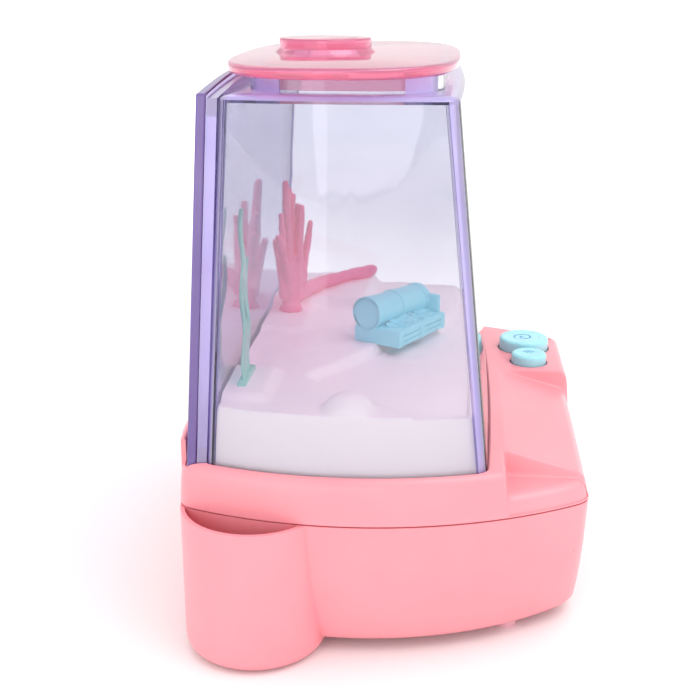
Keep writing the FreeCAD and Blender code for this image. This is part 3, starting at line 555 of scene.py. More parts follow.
def skinned(material, tree, values):
    """Ends a material with one principled surface."""
    skin = add(tree, "ShaderNodeBsdfPrincipled", values)
    add(tree, "ShaderNodeOutputMaterial", {0: skin.outputs[0]})
    return material


def moulded(name, low, high, rough=(0.25, 0.36), grain=0.35, depth=0.004, ior=1.54, **shell):
    """Injection-moulded opaque plastic: nearly even colour, a fine mould grain and a soft gloss."""
    material, tree, coords = blank(name)
    flow = specks(tree, coords, 38.0, 3.0)
    colour = shades(tree, ranged(tree, flow, -0.2, 1.2), low, high)
    fine = specks(tree, coords, grain, 4.0)
    bump = add(tree, "ShaderNodeBump", {"Strength": 0.35, "Distance": depth * MM, "Height": fine})
    gloss = ranged(tree, specks(tree, coords, 9.0, 4.0), *rough)
    values = {"Base Color": colour, "Roughness": gloss, "IOR": ior, "Normal": bump.outputs[0]}
    values.update(shell)
    return skinned(material, tree, values)


def clear(name, skin_colours, body, density, rough, ior=1.59, lamp="#ffffff", wave=0.02, haze=1.0,
          foot=None):
    """Polished clear plastic: a lightly tinted skin, and a body tint that deepens with thickness.

    haze is the share that passes light; foot (low, high, colour) makes the skin paler below: painted light,
    so that what shows through the lower wall looks more brightly lit.
    """
    material, tree, coords = blank(name)
    flow = specks(tree, coords, 30.0, 2.0)
    colour = shades(tree, flow, *skin_colours)
    # painted light: below high the skin turns towards a paler colour, brightening what is seen through the
    # lower wall
    if foot:
        low, high, painted_light_pale = foot
        height = add(tree, "ShaderNodeSeparateXYZ", {0: coords}).outputs[2]
        rise = add(tree, "ShaderNodeMapRange", {0: height, 1: low, 2: high}).outputs[0]
        colour = shades(tree, rise, painted_light_pale, colour)
    ripple = add(tree, "ShaderNodeBump", {"Strength": 0.4, "Distance": wave * MM,
                                          "Height": specks(tree, coords, 14.0, 1.0)})
    gloss = ranged(tree, specks(tree, coords, 6.0, 3.0), rough * 0.7, rough * 1.3)
    skin = add(tree, "ShaderNodeBsdfPrincipled", {
        "Base Color": colour, "Roughness": gloss, "IOR": ior, "Transmission Weight": haze,
        "Normal": ripple.outputs[0]})
    through = add(tree, "ShaderNodeBsdfTransparent", {0: linear(lamp)})
    path = add(tree, "ShaderNodeLightPath")
    mixed = add(tree, "ShaderNodeMixShader", {0: path.outputs["Is Shadow Ray"], 1: skin.outputs[0],
                                              2: through.outputs[0]})
    tint = add(tree, "ShaderNodeVolumeAbsorption", {"Color": linear(body), "Density": density})
    add(tree, "ShaderNodeOutputMaterial", {0: mixed.outputs[0], 1: tint.outputs[0]})
    return material


def metal(name, low, high, rough):
    """Plated or pressed metal with fine drawing lines along one way."""
    material, tree, coords = blank(name)
    lined = add(tree, "ShaderNodeMapping", {"Vector": coords, "Scale": (1.0, 1.0, 12.0)})
    streaks = specks(tree, lined.outputs[0], 1.2, 3.0)
    bump = add(tree, "ShaderNodeBump", {"Strength": 0.2, "Distance": 0.01 * MM, "Height": streaks})
    return skinned(material, tree, {
        "Base Color": shades(tree, streaks, low, high), "Metallic": 1.0,
        "Roughness": ranged(tree, streaks, *rough), "Normal": bump.outputs[0]})


def laminate(name):
    """Solder-masked circuit board: a dark green glass-cloth weave with copper tracks under the mask."""
    material, tree, coords = blank(name)
    tracks = add(tree, "ShaderNodeTexBrick", {
        "Vector": coords, "Color1": linear("#1f6b3a"), "Color2": linear("#1b6034"),
        "Mortar": linear("#2f8a4c"), "Scale": 0.16, "Mortar Size": 0.05})
    weave = add(tree, "ShaderNodeTexChecker", {"Vector": coords, "Scale": 2.0})
    bump = add(tree, "ShaderNodeBump", {"Strength": 0.2, "Distance": 0.02 * MM, "Height": weave.outputs[1]})
    return skinned(material, tree, {
        "Base Color": tracks.outputs[0], "Roughness": ranged(tree, tracks.outputs[1], 0.3, 0.42),
        "IOR": 1.5, "Normal": bump.outputs[0]})


def cell_wrap(name):
    """A plain alkaline cell: a dark wrap with a copper-coloured end band."""
    material, tree, coords = blank(name)
    parts = add(tree, "ShaderNodeSeparateXYZ", {0: coords})
    band = add(tree, "ShaderNodeMath", {0: parts.outputs[0], 1: 14.0}, operation="GREATER_THAN").outputs[0]
    scuffs = specks(tree, coords, 2.5, 4.0)
    colour = shades(tree, band, "#2c2e33", "#b9793c")
    wear = ranged(tree, scuffs, -0.1, 0.25)
    worn = shades(tree, wear, colour, "#6d6f75")
    return skinned(material, tree, {
        "Base Color": worn, "Metallic": 0.6, "Roughness": ranged(tree, scuffs, 0.22, 0.4)})


FINISHES = {
    "pink_abs": lambda: moulded("pink_abs_satin", "#f7949f", "#f9a0a9"),
    # the tank's pale foot is painted light: it brightens what is seen through the lower wall
    "lavender_clear": lambda: clear("lavender_clear_styrene", ("#cbcbd6", "#d8d8e1"), "#9159e7", 5.0, 0.03,
                                    foot=(95.0, 170.0, "#f6f4f8")),
    # painted light: the lavender and pale edge colours stand in for the glow and highlight lines of light
    # through the tank's thick corners, shoulders and rim
    "lavender_edge": lambda: clear("lavender_edge_painted_glow", ("#bfb0ef", "#e2d9fa"), "#9159e7", 5.0, 0.1,
                                   haze=0.55),
    "violet_clear": lambda: clear("violet_clear_styrene", ("#d4c8f0", "#dcd3f3"), "#a578e0", 10.0, 0.04,
                                  lamp="#dcd3f3"),
    # painted light: a deeper violet on the panel's edge faces stands in for the tint of light travelling
    # through the panel's thickness
    "violet_edge": lambda: clear("violet_edge_painted_tint", ("#8a68c8", "#b294e0"), "#a578e0", 10.0, 0.12,
                                 lamp="#dcd3f3", haze=0.55),
    "frosted_pink": lambda: clear("pink_clear_styrene", ("#ff9cc2", "#ffb4d0"), "#fb1f95", 8.0, 0.08,
                                  lamp="#fce6ec", haze=0.78),
    "white_pvc": lambda: moulded("matt_white_pvc", "#fcf4f8", "#fdf7fa", (0.42, 0.55), 0.6, 0.02),
    "mint_clear": lambda: clear("mint_translucent_pvc", ("#8edccb", "#a2e6d8"), "#7ff0d6", 40.0, 0.2,
                                1.5, "#c9f2ea", haze=0.2),
    "rose_clear": lambda: clear("rose_translucent_pvc", ("#ff6fa6", "#ff8ebc"), "#ff5f9f", 14.0, 0.16,
                                1.5, "#f7a8c3", haze=0.2),
    "aqua_abs": lambda: moulded("aqua_abs_satin", "#9fe2ec", "#ade8f1", (0.22, 0.34)),
    "aqua_chest": lambda: moulded("aqua_pvc_soft_gloss", "#8fe8f6", "#a0f0fa", (0.28, 0.4)),
    "steel": lambda: metal("nickel_plated_steel", "#b9babd", "#d4d5d8", (0.18, 0.34)),
    "circuit_board": lambda: laminate("green_solder_mask"),
    "black_nylon": lambda: moulded("black_nylon_matt", "#141416", "#1d1d20", (0.4, 0.55), 0.5, 0.01),
    "speaker_metal": lambda: metal("zinc_plated_basket", "#6c6e74", "#86888e", (0.3, 0.45)),
    "speaker_paper": lambda: moulded("pressed_paper_cone", "#191919", "#242424", (0.75, 0.9), 0.8, 0.06),
    "ferrite": lambda: moulded("sintered_ferrite", "#232326", "#303034", (0.5, 0.7), 0.4, 0.03),
    "opal_lens": lambda: clear("opal_acrylic", ("#f4f4f8", "#fbfbfd"), "#ffffff", 5.0, 0.35, 1.49,
                               haze=0.5),
    "cell_can": lambda: cell_wrap("alkaline_cell_wrap"),
    "foot_rubber": lambda: moulded("soft_rubber", "#e9b3bd", "#eebbc4", (0.6, 0.8), 0.7, 0.03),
    "wire_sleeve": lambda: moulded("wire_sleeve_pvc", "#8d1f22", "#a3262a", (0.3, 0.45), 0.5, 0.01),
    "blue_print": lambda: moulded("pad_printed_blue_ink", "#3489bd", "#4398ca", (0.35, 0.5), 0.3, 0.003),
}
made = {}


def finish_of(slot):
    """The material of a slot, made once."""
    if slot not in made:
        made[slot] = FINISHES[slot]()
    return made[slot]


# ---- shapes of the base ----
def base_outline(inset):
    return Outline(SIDE_X - inset, SIDE_R - inset, FRONT_Y + inset, FRONT_R, BACK_Y - inset, BACK_R - inset,
                   CORNER_FRONT - inset, CORNER_BACK - inset)


def console_drop(x, y, grow=0.0):
    """How far the console lies below the deck: a slope in the middle and a low shelf on its left."""
    slope = WEDGE_DROP * max(0.0, STEP_Y + grow - y)
    shelf = SHELF_DROP * step(STEP_Y + grow - y)
    front = slope + (shelf - slope) * step(WEDGE_LEFT + grow - x)
    return front * step(WEDGE_RIGHT + grow - x)


def circle_rows(x, y, rows, count=64):
    """Rings of a turned shape about a vertical line: rows of height and radius."""
    angles = [2 * math.pi * i / count for i in range(count)]
    return [[at(x + r * math.cos(a), y + r * math.sin(a), z) for a in angles] for z, r in rows]


def deck_cavity():
    """The inside of the upper casing, taken out of it."""
    net = Net(lines(-72.0, 72.0, (WEDGE_LEFT + 2.2, WEDGE_RIGHT + 2.2), 6.0),
              lines(-62.0, 45.0, (STEP_Y + 2.2,), 6.0), 5)
    ceiling = 70.0
    rows = [(base_outline(inset), z, share) for z, inset, share in ((69.0, 4.0, 1.0), (66.0, 3.0, 0.8),
                                                                   (60.0, 2.4, 0.18), (56.0, 2.3, 0.0))]

    def height(x, y):
        return ceiling - console_drop(x, y, 2.2)

    obj, last = sheet_body("cavity", net, base_outline(6.0), rows, height,
                           lambda x, y: console_drop(x, y, 2.2))
    fill(obj, last)
    return outwards(obj)


def seat_cutter():
    """The tank's footprint, a little wider above the deck."""
    rows = ((TANK_LOW, -0.4), (DECK_Z - 0.5, -0.4), (DECK_Z + 0.05, -0.9), (DECK_Z + 6, -0.9))
    tank = [[at(x, y, z) for x, y in tank_outline(75.0, inset).ring(6, 24)] for z, inset in rows]
    return loft("seat", tank)


def block(name, x0, y0, z0, x1, y1, z1, frame_of=at):
    """A cube primitive between two corners."""
    bpy.ops.mesh.primitive_cube_add(size=1)
    obj = named(name)
    obj.scale = ((x1 - x0) * MM, (y1 - y0) * MM, (z1 - z0) * MM)
    obj.location = frame_of((x0 + x1) / 2, (y0 + y1) / 2, (z0 + z1) / 2)
    return settle(obj)


def tank_outline(z, inset=0.0):
    """The tank's outline at a height; its sides' bow falls evenly from the deck to the shoulder."""
    up = z - 75.0
    share = (z - TANK_LOW) / (SHOULDER_Z - TANK_LOW)
    bow = 8.17 - 4.75 * share
    side_r = 1250.0 / bow
    return Outline(99.7 - 0.0931 * up - inset, side_r - inset, -54.9 + 0.1063 * up + inset, 1800.0,
                   49.6 - 0.0572 * up - inset, 6000.0, 6.0 - min(inset, 4.5), 3.0 - min(inset, 2.0))


def fairing_section(x):
    """The raised strip's cross-section at x: front, crowned top, slope to the back."""
    y0 = 57.5
    top = 91.4 - x * x / 840.0
    limit = 68.2 - x * x / 874.0
    slope = (top - 75.0) / 6.5
    points = [(y0, 70.0), (y0, top - 0.8), (y0 + 0.25, top - 0.25), (y0 + 0.8, top)]
    for z in (top - 0.3, top - 1.0, top - 2.2, (top + 75) / 2, 76.0, 74.4, 70.0):
        away = y0 + 1.4 + (top - z) / max(slope, 0.1) * 0.9
        points.append((min(away, limit), z))
    return [at(x, y, z) for y, z in points]


# ---- settings ----
def length(label, words, size, least=0.0):
    """A length setting in metres, from sizes in mm."""
    return bpy.props.FloatProperty(
        name=label, description=words, default=size * MM, min=least * MM, unit="LENGTH")


class AquariumSettings(bpy.types.PropertyGroup):
    """Sizes and counts that change the toy's finer shapes."""
    hole_gap: length("Hole gap", "Open ring round each push button", 0.4)
    dish: length("Button dish", "Depth of the dish in a push button's top", 0.45)
    coins: bpy.props.IntProperty(
        name="Coins", description="Coins moulded in the open chest", default=22, min=1, max=60)
    sand: length("Sand relief", "Height of the ripples moulded in the sea floor", 0.5)
    coral_voxel: length("Coral mesh", "Cell size of the coral's mesh", 0.55, 0.3)
    panel_edge: length("Panel edge", "Rounding of the rear panel's edges", 0.7)


def settings():
    return bpy.context.scene.aquarium


# push buttons: place, radius and height of the top (mm)
BIG = (57.5, -73.0, 11.5, 80.0)
SMALL = (36.0, -74.3, 8.0, 79.0)
CAP_ROUND = 1.6


class AQUARIUM_OT_tub(bpy.types.Operator):
    """Builds the lower casing with its side pocket"""
    bl_idname = "aquarium.tub"
    bl_label = "Lower casing"

    def execute(self, context):
        tub = welded("lower_shell", "tub")
        finish(tub, ["lower_shell"], "base", "pink_abs")
        return {"FINISHED"}


class AQUARIUM_OT_deck(bpy.types.Operator):
    """Builds the upper casing with its console, seat and button holes"""
    bl_idname = "aquarium.deck"
    bl_label = "Upper casing"

    def execute(self, context):
        net = Net(lines(-72.0, 72.0, (WEDGE_LEFT, WEDGE_RIGHT), 4.0), lines(-62.4, 45.0, (STEP_Y,), 4.0), 8)
        rows = [(base_outline(inset), z, share) for z, inset, share in DECK_ROWS[1:]]
        deck, last = sheet_body("deck", net, base_outline(DECK_ROWS[0][1]), rows,
                                lambda x, y: DECK_Z - console_drop(x, y), console_drop)
        fill(deck, last)
        outwards(deck)
        cut(deck, deck_cavity())
        cut(deck, seat_cutter())
        cut(deck, block("rear_seat", -92.1, 40.0, TANK_LOW, 92.1, 57.6, DECK_Z + 6))
        gap = settings().hole_gap / MM
        for x, y, radius, _ in (BIG, SMALL):
            hole = ((50.0, radius + gap), (DECK_Z - 0.7, radius + gap), (DECK_Z - 0.2, radius + gap + 0.15),
                    (DECK_Z + 0.05, radius + gap + 0.5), (DECK_Z + 6, radius + gap + 0.5))
            cut(deck, loft("hole", circle_rows(x, y, hole)))
        smooth(deck, 30.0)
        finish(deck, ["upper_deck"], "base", "pink_abs")
        strip = loft("rear_fairing", [fairing_section(x) for x in spread(-88.0, 88.0, 4.0)])
        smooth(strip, 40.0)
        finish(strip, [], "base", "pink_abs")
        return {"FINISHED"}


class AQUARIUM_OT_buttons(bpy.types.Operator):
    """Builds the two push buttons and their printed signs"""
    bl_idname = "aquarium.buttons"
    bl_label = "Push buttons"

    def execute(self, context):
        for name, (x, y, radius, top) in (("big_button", BIG), ("small_button", SMALL)):
            dish = settings().dish / MM
            inner = radius - CAP_ROUND
            rows = [(top - 2.2, inner), (68.6, inner), (68.6, radius - 0.2), (68.8, radius)]
            for i in range(7):
                a = math.radians(15 * i)
                rows.append((top - CAP_ROUND + CAP_ROUND * math.sin(a), inner + CAP_ROUND * math.cos(a)))
            for share in (0.93, 0.86, 0.75, 0.6, 0.4, 0.2):
                rows.append((top - dish * blend(0.0, 1.0, (1 - share) * 1.6), inner * share))
            cap = loft(name + "_cap", circle_rows(x, y, rows))
            smooth(cap, 50.0)
            finish(cap, [name], name, "aqua_abs")
            sign = self.sign(name, x, y, radius, top - dish)
            finish(sign, [], name, "aqua_abs", "blue_print")
        return {"FINISHED"}

    def sign(self, name, x, y, radius, z):
        """A printed line a hair above the cap: a swirl on the big button, waves on the small one."""
        strokes = []
        if name == "big_button":
            strokes.append([(0.9 + 5.2 * t, 2 * math.pi * 1.75 * t) for t in [i / 60 for i in range(61)]])
        else:
            for reach in (1.5, 3.0, 4.5):
                strokes.append([(reach, math.radians(a)) for a in range(-60, 61, 10)])
        made_strokes = []
        for stroke in strokes:
            bpy.ops.curve.primitive_nurbs_path_add()
            line = bpy.context.object
            line.data.splines.clear()
            spline = line.data.splines.new("POLY")
            spline.points.add(len(stroke) - 1)
            for point, (r, a) in zip(spline.points, stroke):
                point.co = (*at(x + r * math.cos(a), y + r * math.sin(a), z + 0.02), 1.0)
            line.data.bevel_depth = 0.42 * MM
            line.data.bevel_resolution = 2
            line.data.use_fill_caps = True
            only(line)
            bpy.ops.object.convert(target="MESH")
            made_strokes.append(bpy.context.object)
        sign = joined(made_strokes, name + "_print")
        for vert in sign.data.vertices:
            vert.co.z = z * MM + (vert.co.z - z * MM) * 0.2
        return settle(smooth(sign, 60.0))


class AQUARIUM_OT_tank(bpy.types.Operator):
    """Builds the clear tank and the violet panel behind it"""
    bl_idname = "aquarium.tank"
    bl_label = "Tank and rear panel"

    def execute(self, context):
        tank = welded("tank_body", "tank", 30.0)
        finish(tank, ["tank_body"], "base", "lavender_clear")
        # painted light on the corners, shoulders and rear rim: a hazier lavender skin in place of the glow
        # and highlight lines of light through the thick edges
        rim = at(RIM_X, TANK_REAR - TANK_WALL - 2.5, 0)
        faced(tank, lambda n, place: max(abs(n.x), abs(n.y)) < 0.9 or abs(n.z) > 0.3
              or (place.y > rim.y and (abs(n.x) > 0.9 or abs(place.x) > rim.x)), finish_of("lavender_edge"))
        panel = welded("back_panel", "rear_panel", 20.0)
        edit(panel)
        bpy.ops.mesh.dissolve_limited(angle_limit=math.radians(0.5))
        leave()
        modify(panel, "BEVEL", width=settings().panel_edge, segments=3, limit_method="ANGLE",
               angle_limit=math.radians(40))
        smooth(panel, 40.0)
        finish(panel, ["back_panel"], "base", "violet_clear")
        # painted light: the panel's side faces get a deeper violet for the tint of light through its
        # thickness
        faced(panel, lambda n, place: abs(n.y) < 0.9, finish_of("violet_edge"))
        return {"FINISHED"}


class AQUARIUM_OT_lid(bpy.types.Operator):
    """Builds the lift-off lid with its round knob"""
    bl_idname = "aquarium.lid"
    bl_label = "Lid"

    def execute(self, context):
        lid = welded("tank_lid", "lid", 35.0)
        finish(lid, ["tank_lid"], "lid", "frosted_pink")
        return {"FINISHED"}


def terrace_edge(x):
    """Y of the terrace's front edge at x, a smooth line through its points."""
    points = TERRACE_EDGE
    if x <= points[0][0]:
        return points[0][1]
    for i in range(len(points) - 1):
        (x1, y1), (x2, y2) = points[i], points[i + 1]
        if x <= x2:
            y0 = points[max(i - 1, 0)][1]
            y3 = points[min(i + 2, len(points) - 1)][1]
            t = (x - x1) / (x2 - x1)
            m1 = (y2 - y0) / 2
            m2 = (y3 - y1) / 2
            return ((2 * t ** 3 - 3 * t * t + 1) * y1 + (t ** 3 - 2 * t * t + t) * m1
                    + (3 * t * t - 2 * t ** 3) * y2 + (t ** 3 - t * t) * m2)
    return points[-1][1]


def hill(x, y, x0, y0, x1, y1, edge=5.0):
    """1 on a flat-topped rise and 0 away from it."""
    return (blend(x0, x0 + edge, x) * blend(-x1, -x1 + edge, -x)
            * blend(y0, y0 + edge, y) * blend(-y1, -y1 + edge, -y))


def sea_floor(x, y):
    """Height of the moulded sea floor."""
    z = TRAY_FLOOR + (TERRACE_Z - TRAY_FLOOR) * blend(-1.6, 1.6, y - terrace_edge(x))
    for x0, y0, x1, y1, top in RISES:
        z = max(z, z + (top - z) * hill(x, y, x0, y0, x1, y1))
    bx, by, bz, radius = BOULDER
    away = (x - bx) ** 2 + (y - by) ** 2
    if away < radius ** 2:
        z = max(z, bz + math.sqrt(radius ** 2 - away))
    ripple = noise.noise(Vector((x / 9.0, y / 7.0, 0.3)))
    ripple += 0.35 * noise.noise(Vector((x / 3.0, y / 2.6, 4.0)))
    z += settings().sand / MM * 0.7 * ripple
    rim = tank_outline(TRAY_RIM, 3.0)
    edge = min(rim.side(max(-60, min(60, y))) - abs(x), y - rim.far(-1, x), rim.far(1, x) - y)
    return max(z, TRAY_FLOOR - 1 + (TRAY_RIM - TRAY_FLOOR + 1) * blend(-3.6, -2.2, -edge))


class AQUARIUM_OT_tray(bpy.types.Operator):
    """Builds the moulded sea floor that stands in the tank"""
    bl_idname = "aquarium.tray"
    bl_label = "Sea floor"

    def execute(self, context):
        net = Net(spread(-80.0, 80.0, 1.5), spread(-34.0, 34.0, 1.5), 9)
        rows = [(tank_outline(TRAY_RIM, 3.1), 94.35, 0.0), (tank_outline(TRAY_RIM, 3.0), 94.0, 0.0),
                (tank_outline(84.0, 3.0), 84.0, 0.0), (tank_outline(TRAY_LOW, 3.0), TRAY_LOW, 0.0)]
        tray, last = sheet_body("sea_floor", net, tank_outline(TRAY_RIM, 3.5), rows, sea_floor,
                                lambda x, y: 0.0)
        fill(tray, last)
        outwards(tray)
        smooth(tray, 50.0)
        finish(tray, ["scenery_tray"], "base", "white_pvc")
        return {"FINISHED"}


# each leaf's y, and rows of height, centre and half width (mm)
FRONDS = (
    (37.5, ((97.6, -66.5, 3.5), (112, -65.5, 5.5), (124.5, -66.5, 1.7), (137.5, -65.5, 4.5),
            (150.5, -65.5, 1.5), (158, -64.0, 2.2), (163, -62.8, 0.3))),
    (38.3, ((97.6, -55.8, 2.8), (110, -55.3, 4.8), (121, -55.5, 1.6), (132, -55.0, 3.5),
            (139, -54.7, 1.9), (143, -54.5, 0.3))),
)


def eased(rows, z):
    """Smoothly interpolated values of rows (z, a, b) at z."""
    for (z0, *v0), (z1, *v1) in zip(rows, rows[1:]):
        if z <= z1:
            t = blend(z0, z1, z)
            return [a + (b - a) * t for a, b in zip(v0, v1)]
    return rows[-1][1:]


class AQUARIUM_OT_seaweed(bpy.types.Operator):
    """Builds the two seaweed leaves on their foot"""
    bl_idname = "aquarium.seaweed"
    bl_label = "Seaweed"

    def execute(self, context):
        parts = []
        for y, rows in FRONDS:
            rings = []
            for z in spread(rows[0][0], rows[-1][0], 1.1):
                centre, width = eased(rows, z)
                bend = 0.5 * math.sin((z - 98) / 4.2)
                ring = []
                for k in range(24):
                    a = 2 * math.pi * k / 24
                    across = math.cos(a)
                    rib = 0.25 * math.exp(-(across * 3.2) ** 2) * (1 if math.sin(a) >= 0 else -1)
                    thick = 0.45 * math.sin(a) + rib * min(1.0, width)
                    fold = 0.3 * math.cos(across * 5.0)
                    ring.append(at(centre + width * across, y + 0.95 + bend + fold + thick, z))
                rings.append(ring)
            parts.append(loft("leaf", rings))
        foot = block("foot", -73.0, 37.0, 97.4, -51.0, 40.4, 99.4)
        modify(foot, "BEVEL", width=0.7 * MM, segments=3)
        weed = joined([foot] + parts, "seaweed_leaves")
        smooth(weed, 60.0)
        finish(weed, ["seaweed"], "base", "mint_clear")
        return {"FINISHED"}


# each branch's start and end, and its radius at both (mm)
CORAL = (
    ((34, 35.5, 101), (34, 36.5, 112), 3.6, 3.0),
    ((34, 36.5, 112), (30, 36.5, 156), 3.0, 1.7),
    ((34, 36.5, 114), (42, 35.0, 148), 2.6, 1.7),
    ((33, 36.0, 110), (20, 38.5, 134), 2.4, 1.5),
    ((33, 38.0, 104), (30, 41.5, 130), 2.6, 1.5),
    ((24, 37.0, 126), (23, 38.0, 143), 1.8, 1.4),
    ((36, 36.0, 108), (52, 33.0, 136), 2.6, 1.5),
    ((46, 34.5, 126), (47, 33.5, 143), 1.8, 1.4),
    ((31, 36.5, 138), (36, 35.5, 152), 1.6, 1.3),
    ((35, 33.0, 106), (38, 30.5, 144), 2.6, 1.4),
    ((38, 31.5, 106), (44, 27.5, 136), 2.4, 1.4),
    ((36, 34.0, 104), (58, 25.0, 104), 4.2, 3.3),
    ((58, 25.0, 104), (76, 12.0, 103.4), 3.3, 2.8),
    ((76, 12.0, 103.4), (86, 3.0, 103.2), 2.8, 3.0),
)


class AQUARIUM_OT_coral(bpy.types.Operator):
    """Builds the branching coral in one soft mass"""
    bl_idname = "aquarium.coral"
    bl_label = "Coral"

    def execute(self, context):
        bpy.ops.mesh.primitive_cone_add(vertices=32, radius1=5.8 * MM, radius2=3.0 * MM, depth=5.0 * MM,
                                        location=at(34, 35.5, 99.5))
        parts = [bpy.context.object]
        for start, end, r0, r1 in CORAL:
            a = at(*start)
            b = at(*end)
            turn = (b - a).to_track_quat("Z", "Y").to_euler()
            bpy.ops.mesh.primitive_cone_add(vertices=20, radius1=r0 * MM, radius2=r1 * MM,
                                            depth=(b - a).length, location=(a + b) / 2, rotation=turn)
            parts.append(bpy.context.object)
            for place, radius in ((a, r0), (b, r1)):
                bpy.ops.mesh.primitive_ico_sphere_add(subdivisions=3, radius=radius * MM, location=place)
                parts.append(bpy.context.object)
        coral = settle(joined(parts, "coral_branches"))
        modify(coral, "REMESH", mode="VOXEL", voxel_size=settings().coral_voxel)
        modify(coral, "SMOOTH", factor=0.6, iterations=6)
        for vert in coral.data.vertices:
            x, y, z = (vert.co / MM)
            ribs = noise.noise(Vector((x / 1.5, y / 1.5, z / 9.0)))
            knobs = noise.noise(Vector((x / 3.2, y / 3.2, z / 3.2 + 7.0)))
            vert.co += vert.normal * (0.22 * ribs + 0.25 * knobs) * MM
        smooth(coral, 180.0)
        finish(coral, ["coral"], "base", "rose_clear")
        return {"FINISHED"}


CHEST = {"turn": -29.0, "length": 38.0, "width": 22.2, "height": 7.2, "corner": (-15.2, -17.0),
         "across": 16.6, "up": 12.6, "lid_turn": -4.0, "lid_dip": 2.0}
BANDS_X = (0.0, 17.4, 34.8)
BAND_WIDE = 3.2


class AQUARIUM_OT_chest(bpy.types.Operator):
    """Builds the open treasure chest with its coins"""
    bl_idname = "aquarium.chest"
    bl_label = "Treasure chest"

    def execute(self, context):
        parts = [self.case()] + self.bands() + [self.lid(6.8, 0.0, CHEST["length"], 0.5)]
        for x in BANDS_X:
            parts.append(self.lid(7.1, x, x + BAND_WIDE, 0.0))
        parts += self.coins()
        cheek = self.bar(35.6, 2.0, 6.0, 37.8, 16.0, 15.0)
        parts.append(modify(cheek, "BEVEL", width=2.2 * MM, segments=4))
        chest = joined(parts, "treasure_chest_moulding")
        turn = Matrix.Rotation(math.radians(CHEST["turn"]), 4, "Z")
        chest.data.transform(Matrix.Translation(at(*CHEST["corner"], TERRACE_Z)) @ turn)
        smooth(chest, 35.0)
        finish(chest, ["treasure_chest"], "base", "aqua_abs", "aqua_chest")
        return {"FINISHED"}

    def bar(self, x0, y0, z0, x1, y1, z1):
        """A block in the chest's own drawing, whose corner is its origin."""
        return block("bar", x0, y0, z0, x1, y1, z1, lambda *place: [c * MM for c in place])

    def case(self):
        length, width, height = CHEST["length"], CHEST["width"], CHEST["height"]
        case = self.bar(0.2, 0.2, 0.0, length - 0.2, width - 0.2, height)
        modify(case, "BEVEL", width=0.7 * MM, segments=3)
        for z in (2.3, 4.5):
            for y in (-1.0, width - 0.7):
                cut(case, self.bar(-1, y, z - 0.22, length + 1, y + 1.7, z + 0.22))
            for x in (-1.0, length - 0.7):
                cut(case, self.bar(x, -1, z - 0.22, x + 1.7, width + 1, z + 0.22))
        return case

    def bands(self):
        out = []
        for x in BANDS_X:
            band = self.bar(x, 0.0, 0.0, x + BAND_WIDE, CHEST["width"], CHEST["height"] - 0.3)
            out.append(modify(band, "BEVEL", width=0.35 * MM, segments=2))
        clasp = self.bar(17.0, -0.1, 2.6, 21.0, 1.0, 6.5)
        out.append(modify(clasp, "BEVEL", width=0.4 * MM, segments=2))
        return out

    def lid(self, radius, x0, x1, recess):
        """A length of the barrel lid, sunk into the case; recess presses in its end discs."""
        hinge = Matrix.Translation((0.0, CHEST["across"] * MM, CHEST["up"] * MM))
        turn = Matrix.Rotation(math.radians(CHEST["lid_turn"]), 4, "Z")
        dip = Matrix.Rotation(math.radians(CHEST["lid_dip"]), 4, "Y")
        middle = ((x0 + x1) / 2 * MM, 0, 0)
        bpy.ops.mesh.primitive_cylinder_add(vertices=64, radius=radius * MM, depth=(x1 - x0) * MM,
                                            rotation=(0, math.pi / 2, 0), location=middle)
        lid = settle(named("lid_part"))
        if recess:
            self.sink_faces(lid, lambda face: abs(face.normal.x) > 0.99, 0.9, recess)
        lid.data.transform(hinge @ turn @ dip)
        return lid

    def sink_faces(self, obj, chosen, border, depth):
        """Insets the chosen faces and presses them in."""
        edit(obj, "DESELECT", "FACE")
        mesh = bmesh.from_edit_mesh(obj.data)
        for face in mesh.faces:
            if chosen(face):
                face.select_set(True)
        bmesh.update_edit_mesh(obj.data)
        bpy.ops.mesh.inset(thickness=border * MM, depth=0)
        bpy.ops.mesh.inset(thickness=0.12 * MM, depth=-depth * MM)
        leave()

    def coins(self):
        out = []
        for i in range(settings().coins):
            spin = i * 2.399
            share = math.sqrt((i + 0.5) / settings().coins)
            x = 19.0 + 15.2 * share * math.cos(spin)
            y = 7.2 + 4.6 * share * math.sin(spin)
            rise = CHEST["height"] + 0.2 + 1.9 * (1 - share)
            lean = (0.35 * math.sin(3.1 * i), 0.35 * math.cos(2.3 * i), 0.0)
            bpy.ops.mesh.primitive_cylinder_add(vertices=28, radius=2.3 * MM, depth=0.9 * MM, rotation=lean,
                                                location=(x * MM, y * MM, rise * MM))
            coin = named("coin")
            self.sink_faces(coin, lambda face: len(face.verts) > 4 and face.normal.z > 0.5, 0.35, 0.15)
            out.append(settle(coin))
        return out


class AQUARIUM_OT_works(bpy.types.Operator):
    """Gives every part that is kept as packed its own finish"""
    bl_idname = "aquarium.works"
    bl_label = "Inner parts"

    def execute(self, context):
        rebuilt = {"lower_shell", "upper_deck", "tank_body", "back_panel", "tank_lid", "scenery_tray",
                   "seaweed", "coral", "treasure_chest", "big_button", "small_button"}
        for part in frame["record"]["subparts"]:
            if part["node"] in rebuilt:
                continue
            mesh = NODES[part["node"]].data
            material = finish_of(part["material_slot"])
            for i in range(len(mesh.materials)):
                mesh.materials[i] = material
            if not mesh.materials:
                mesh.materials.append(material)
        return {"FINISHED"}


# name, place, side and power of each lamp (m, W)
STUDIO_LIGHTS = (
    ("key", (-0.2, -0.6, 1.35), 1.1, 8.0),
    ("fill", (-1.5, 0.03, 0.42), 0.5, 1.0),
    ("low_fill", (-1.2, 0.6, 0.25), 0.9, 2.0),
    ("back", (0.9, 0.5, 1.2), 0.9, 2.0),
)
CAMERA_PLACE = (-0.46461, -0.02709, 0.24317)
CAMERA_AIM = (0.9466, 0.0877, -0.3103)
CAMERA_LENS = 58.82


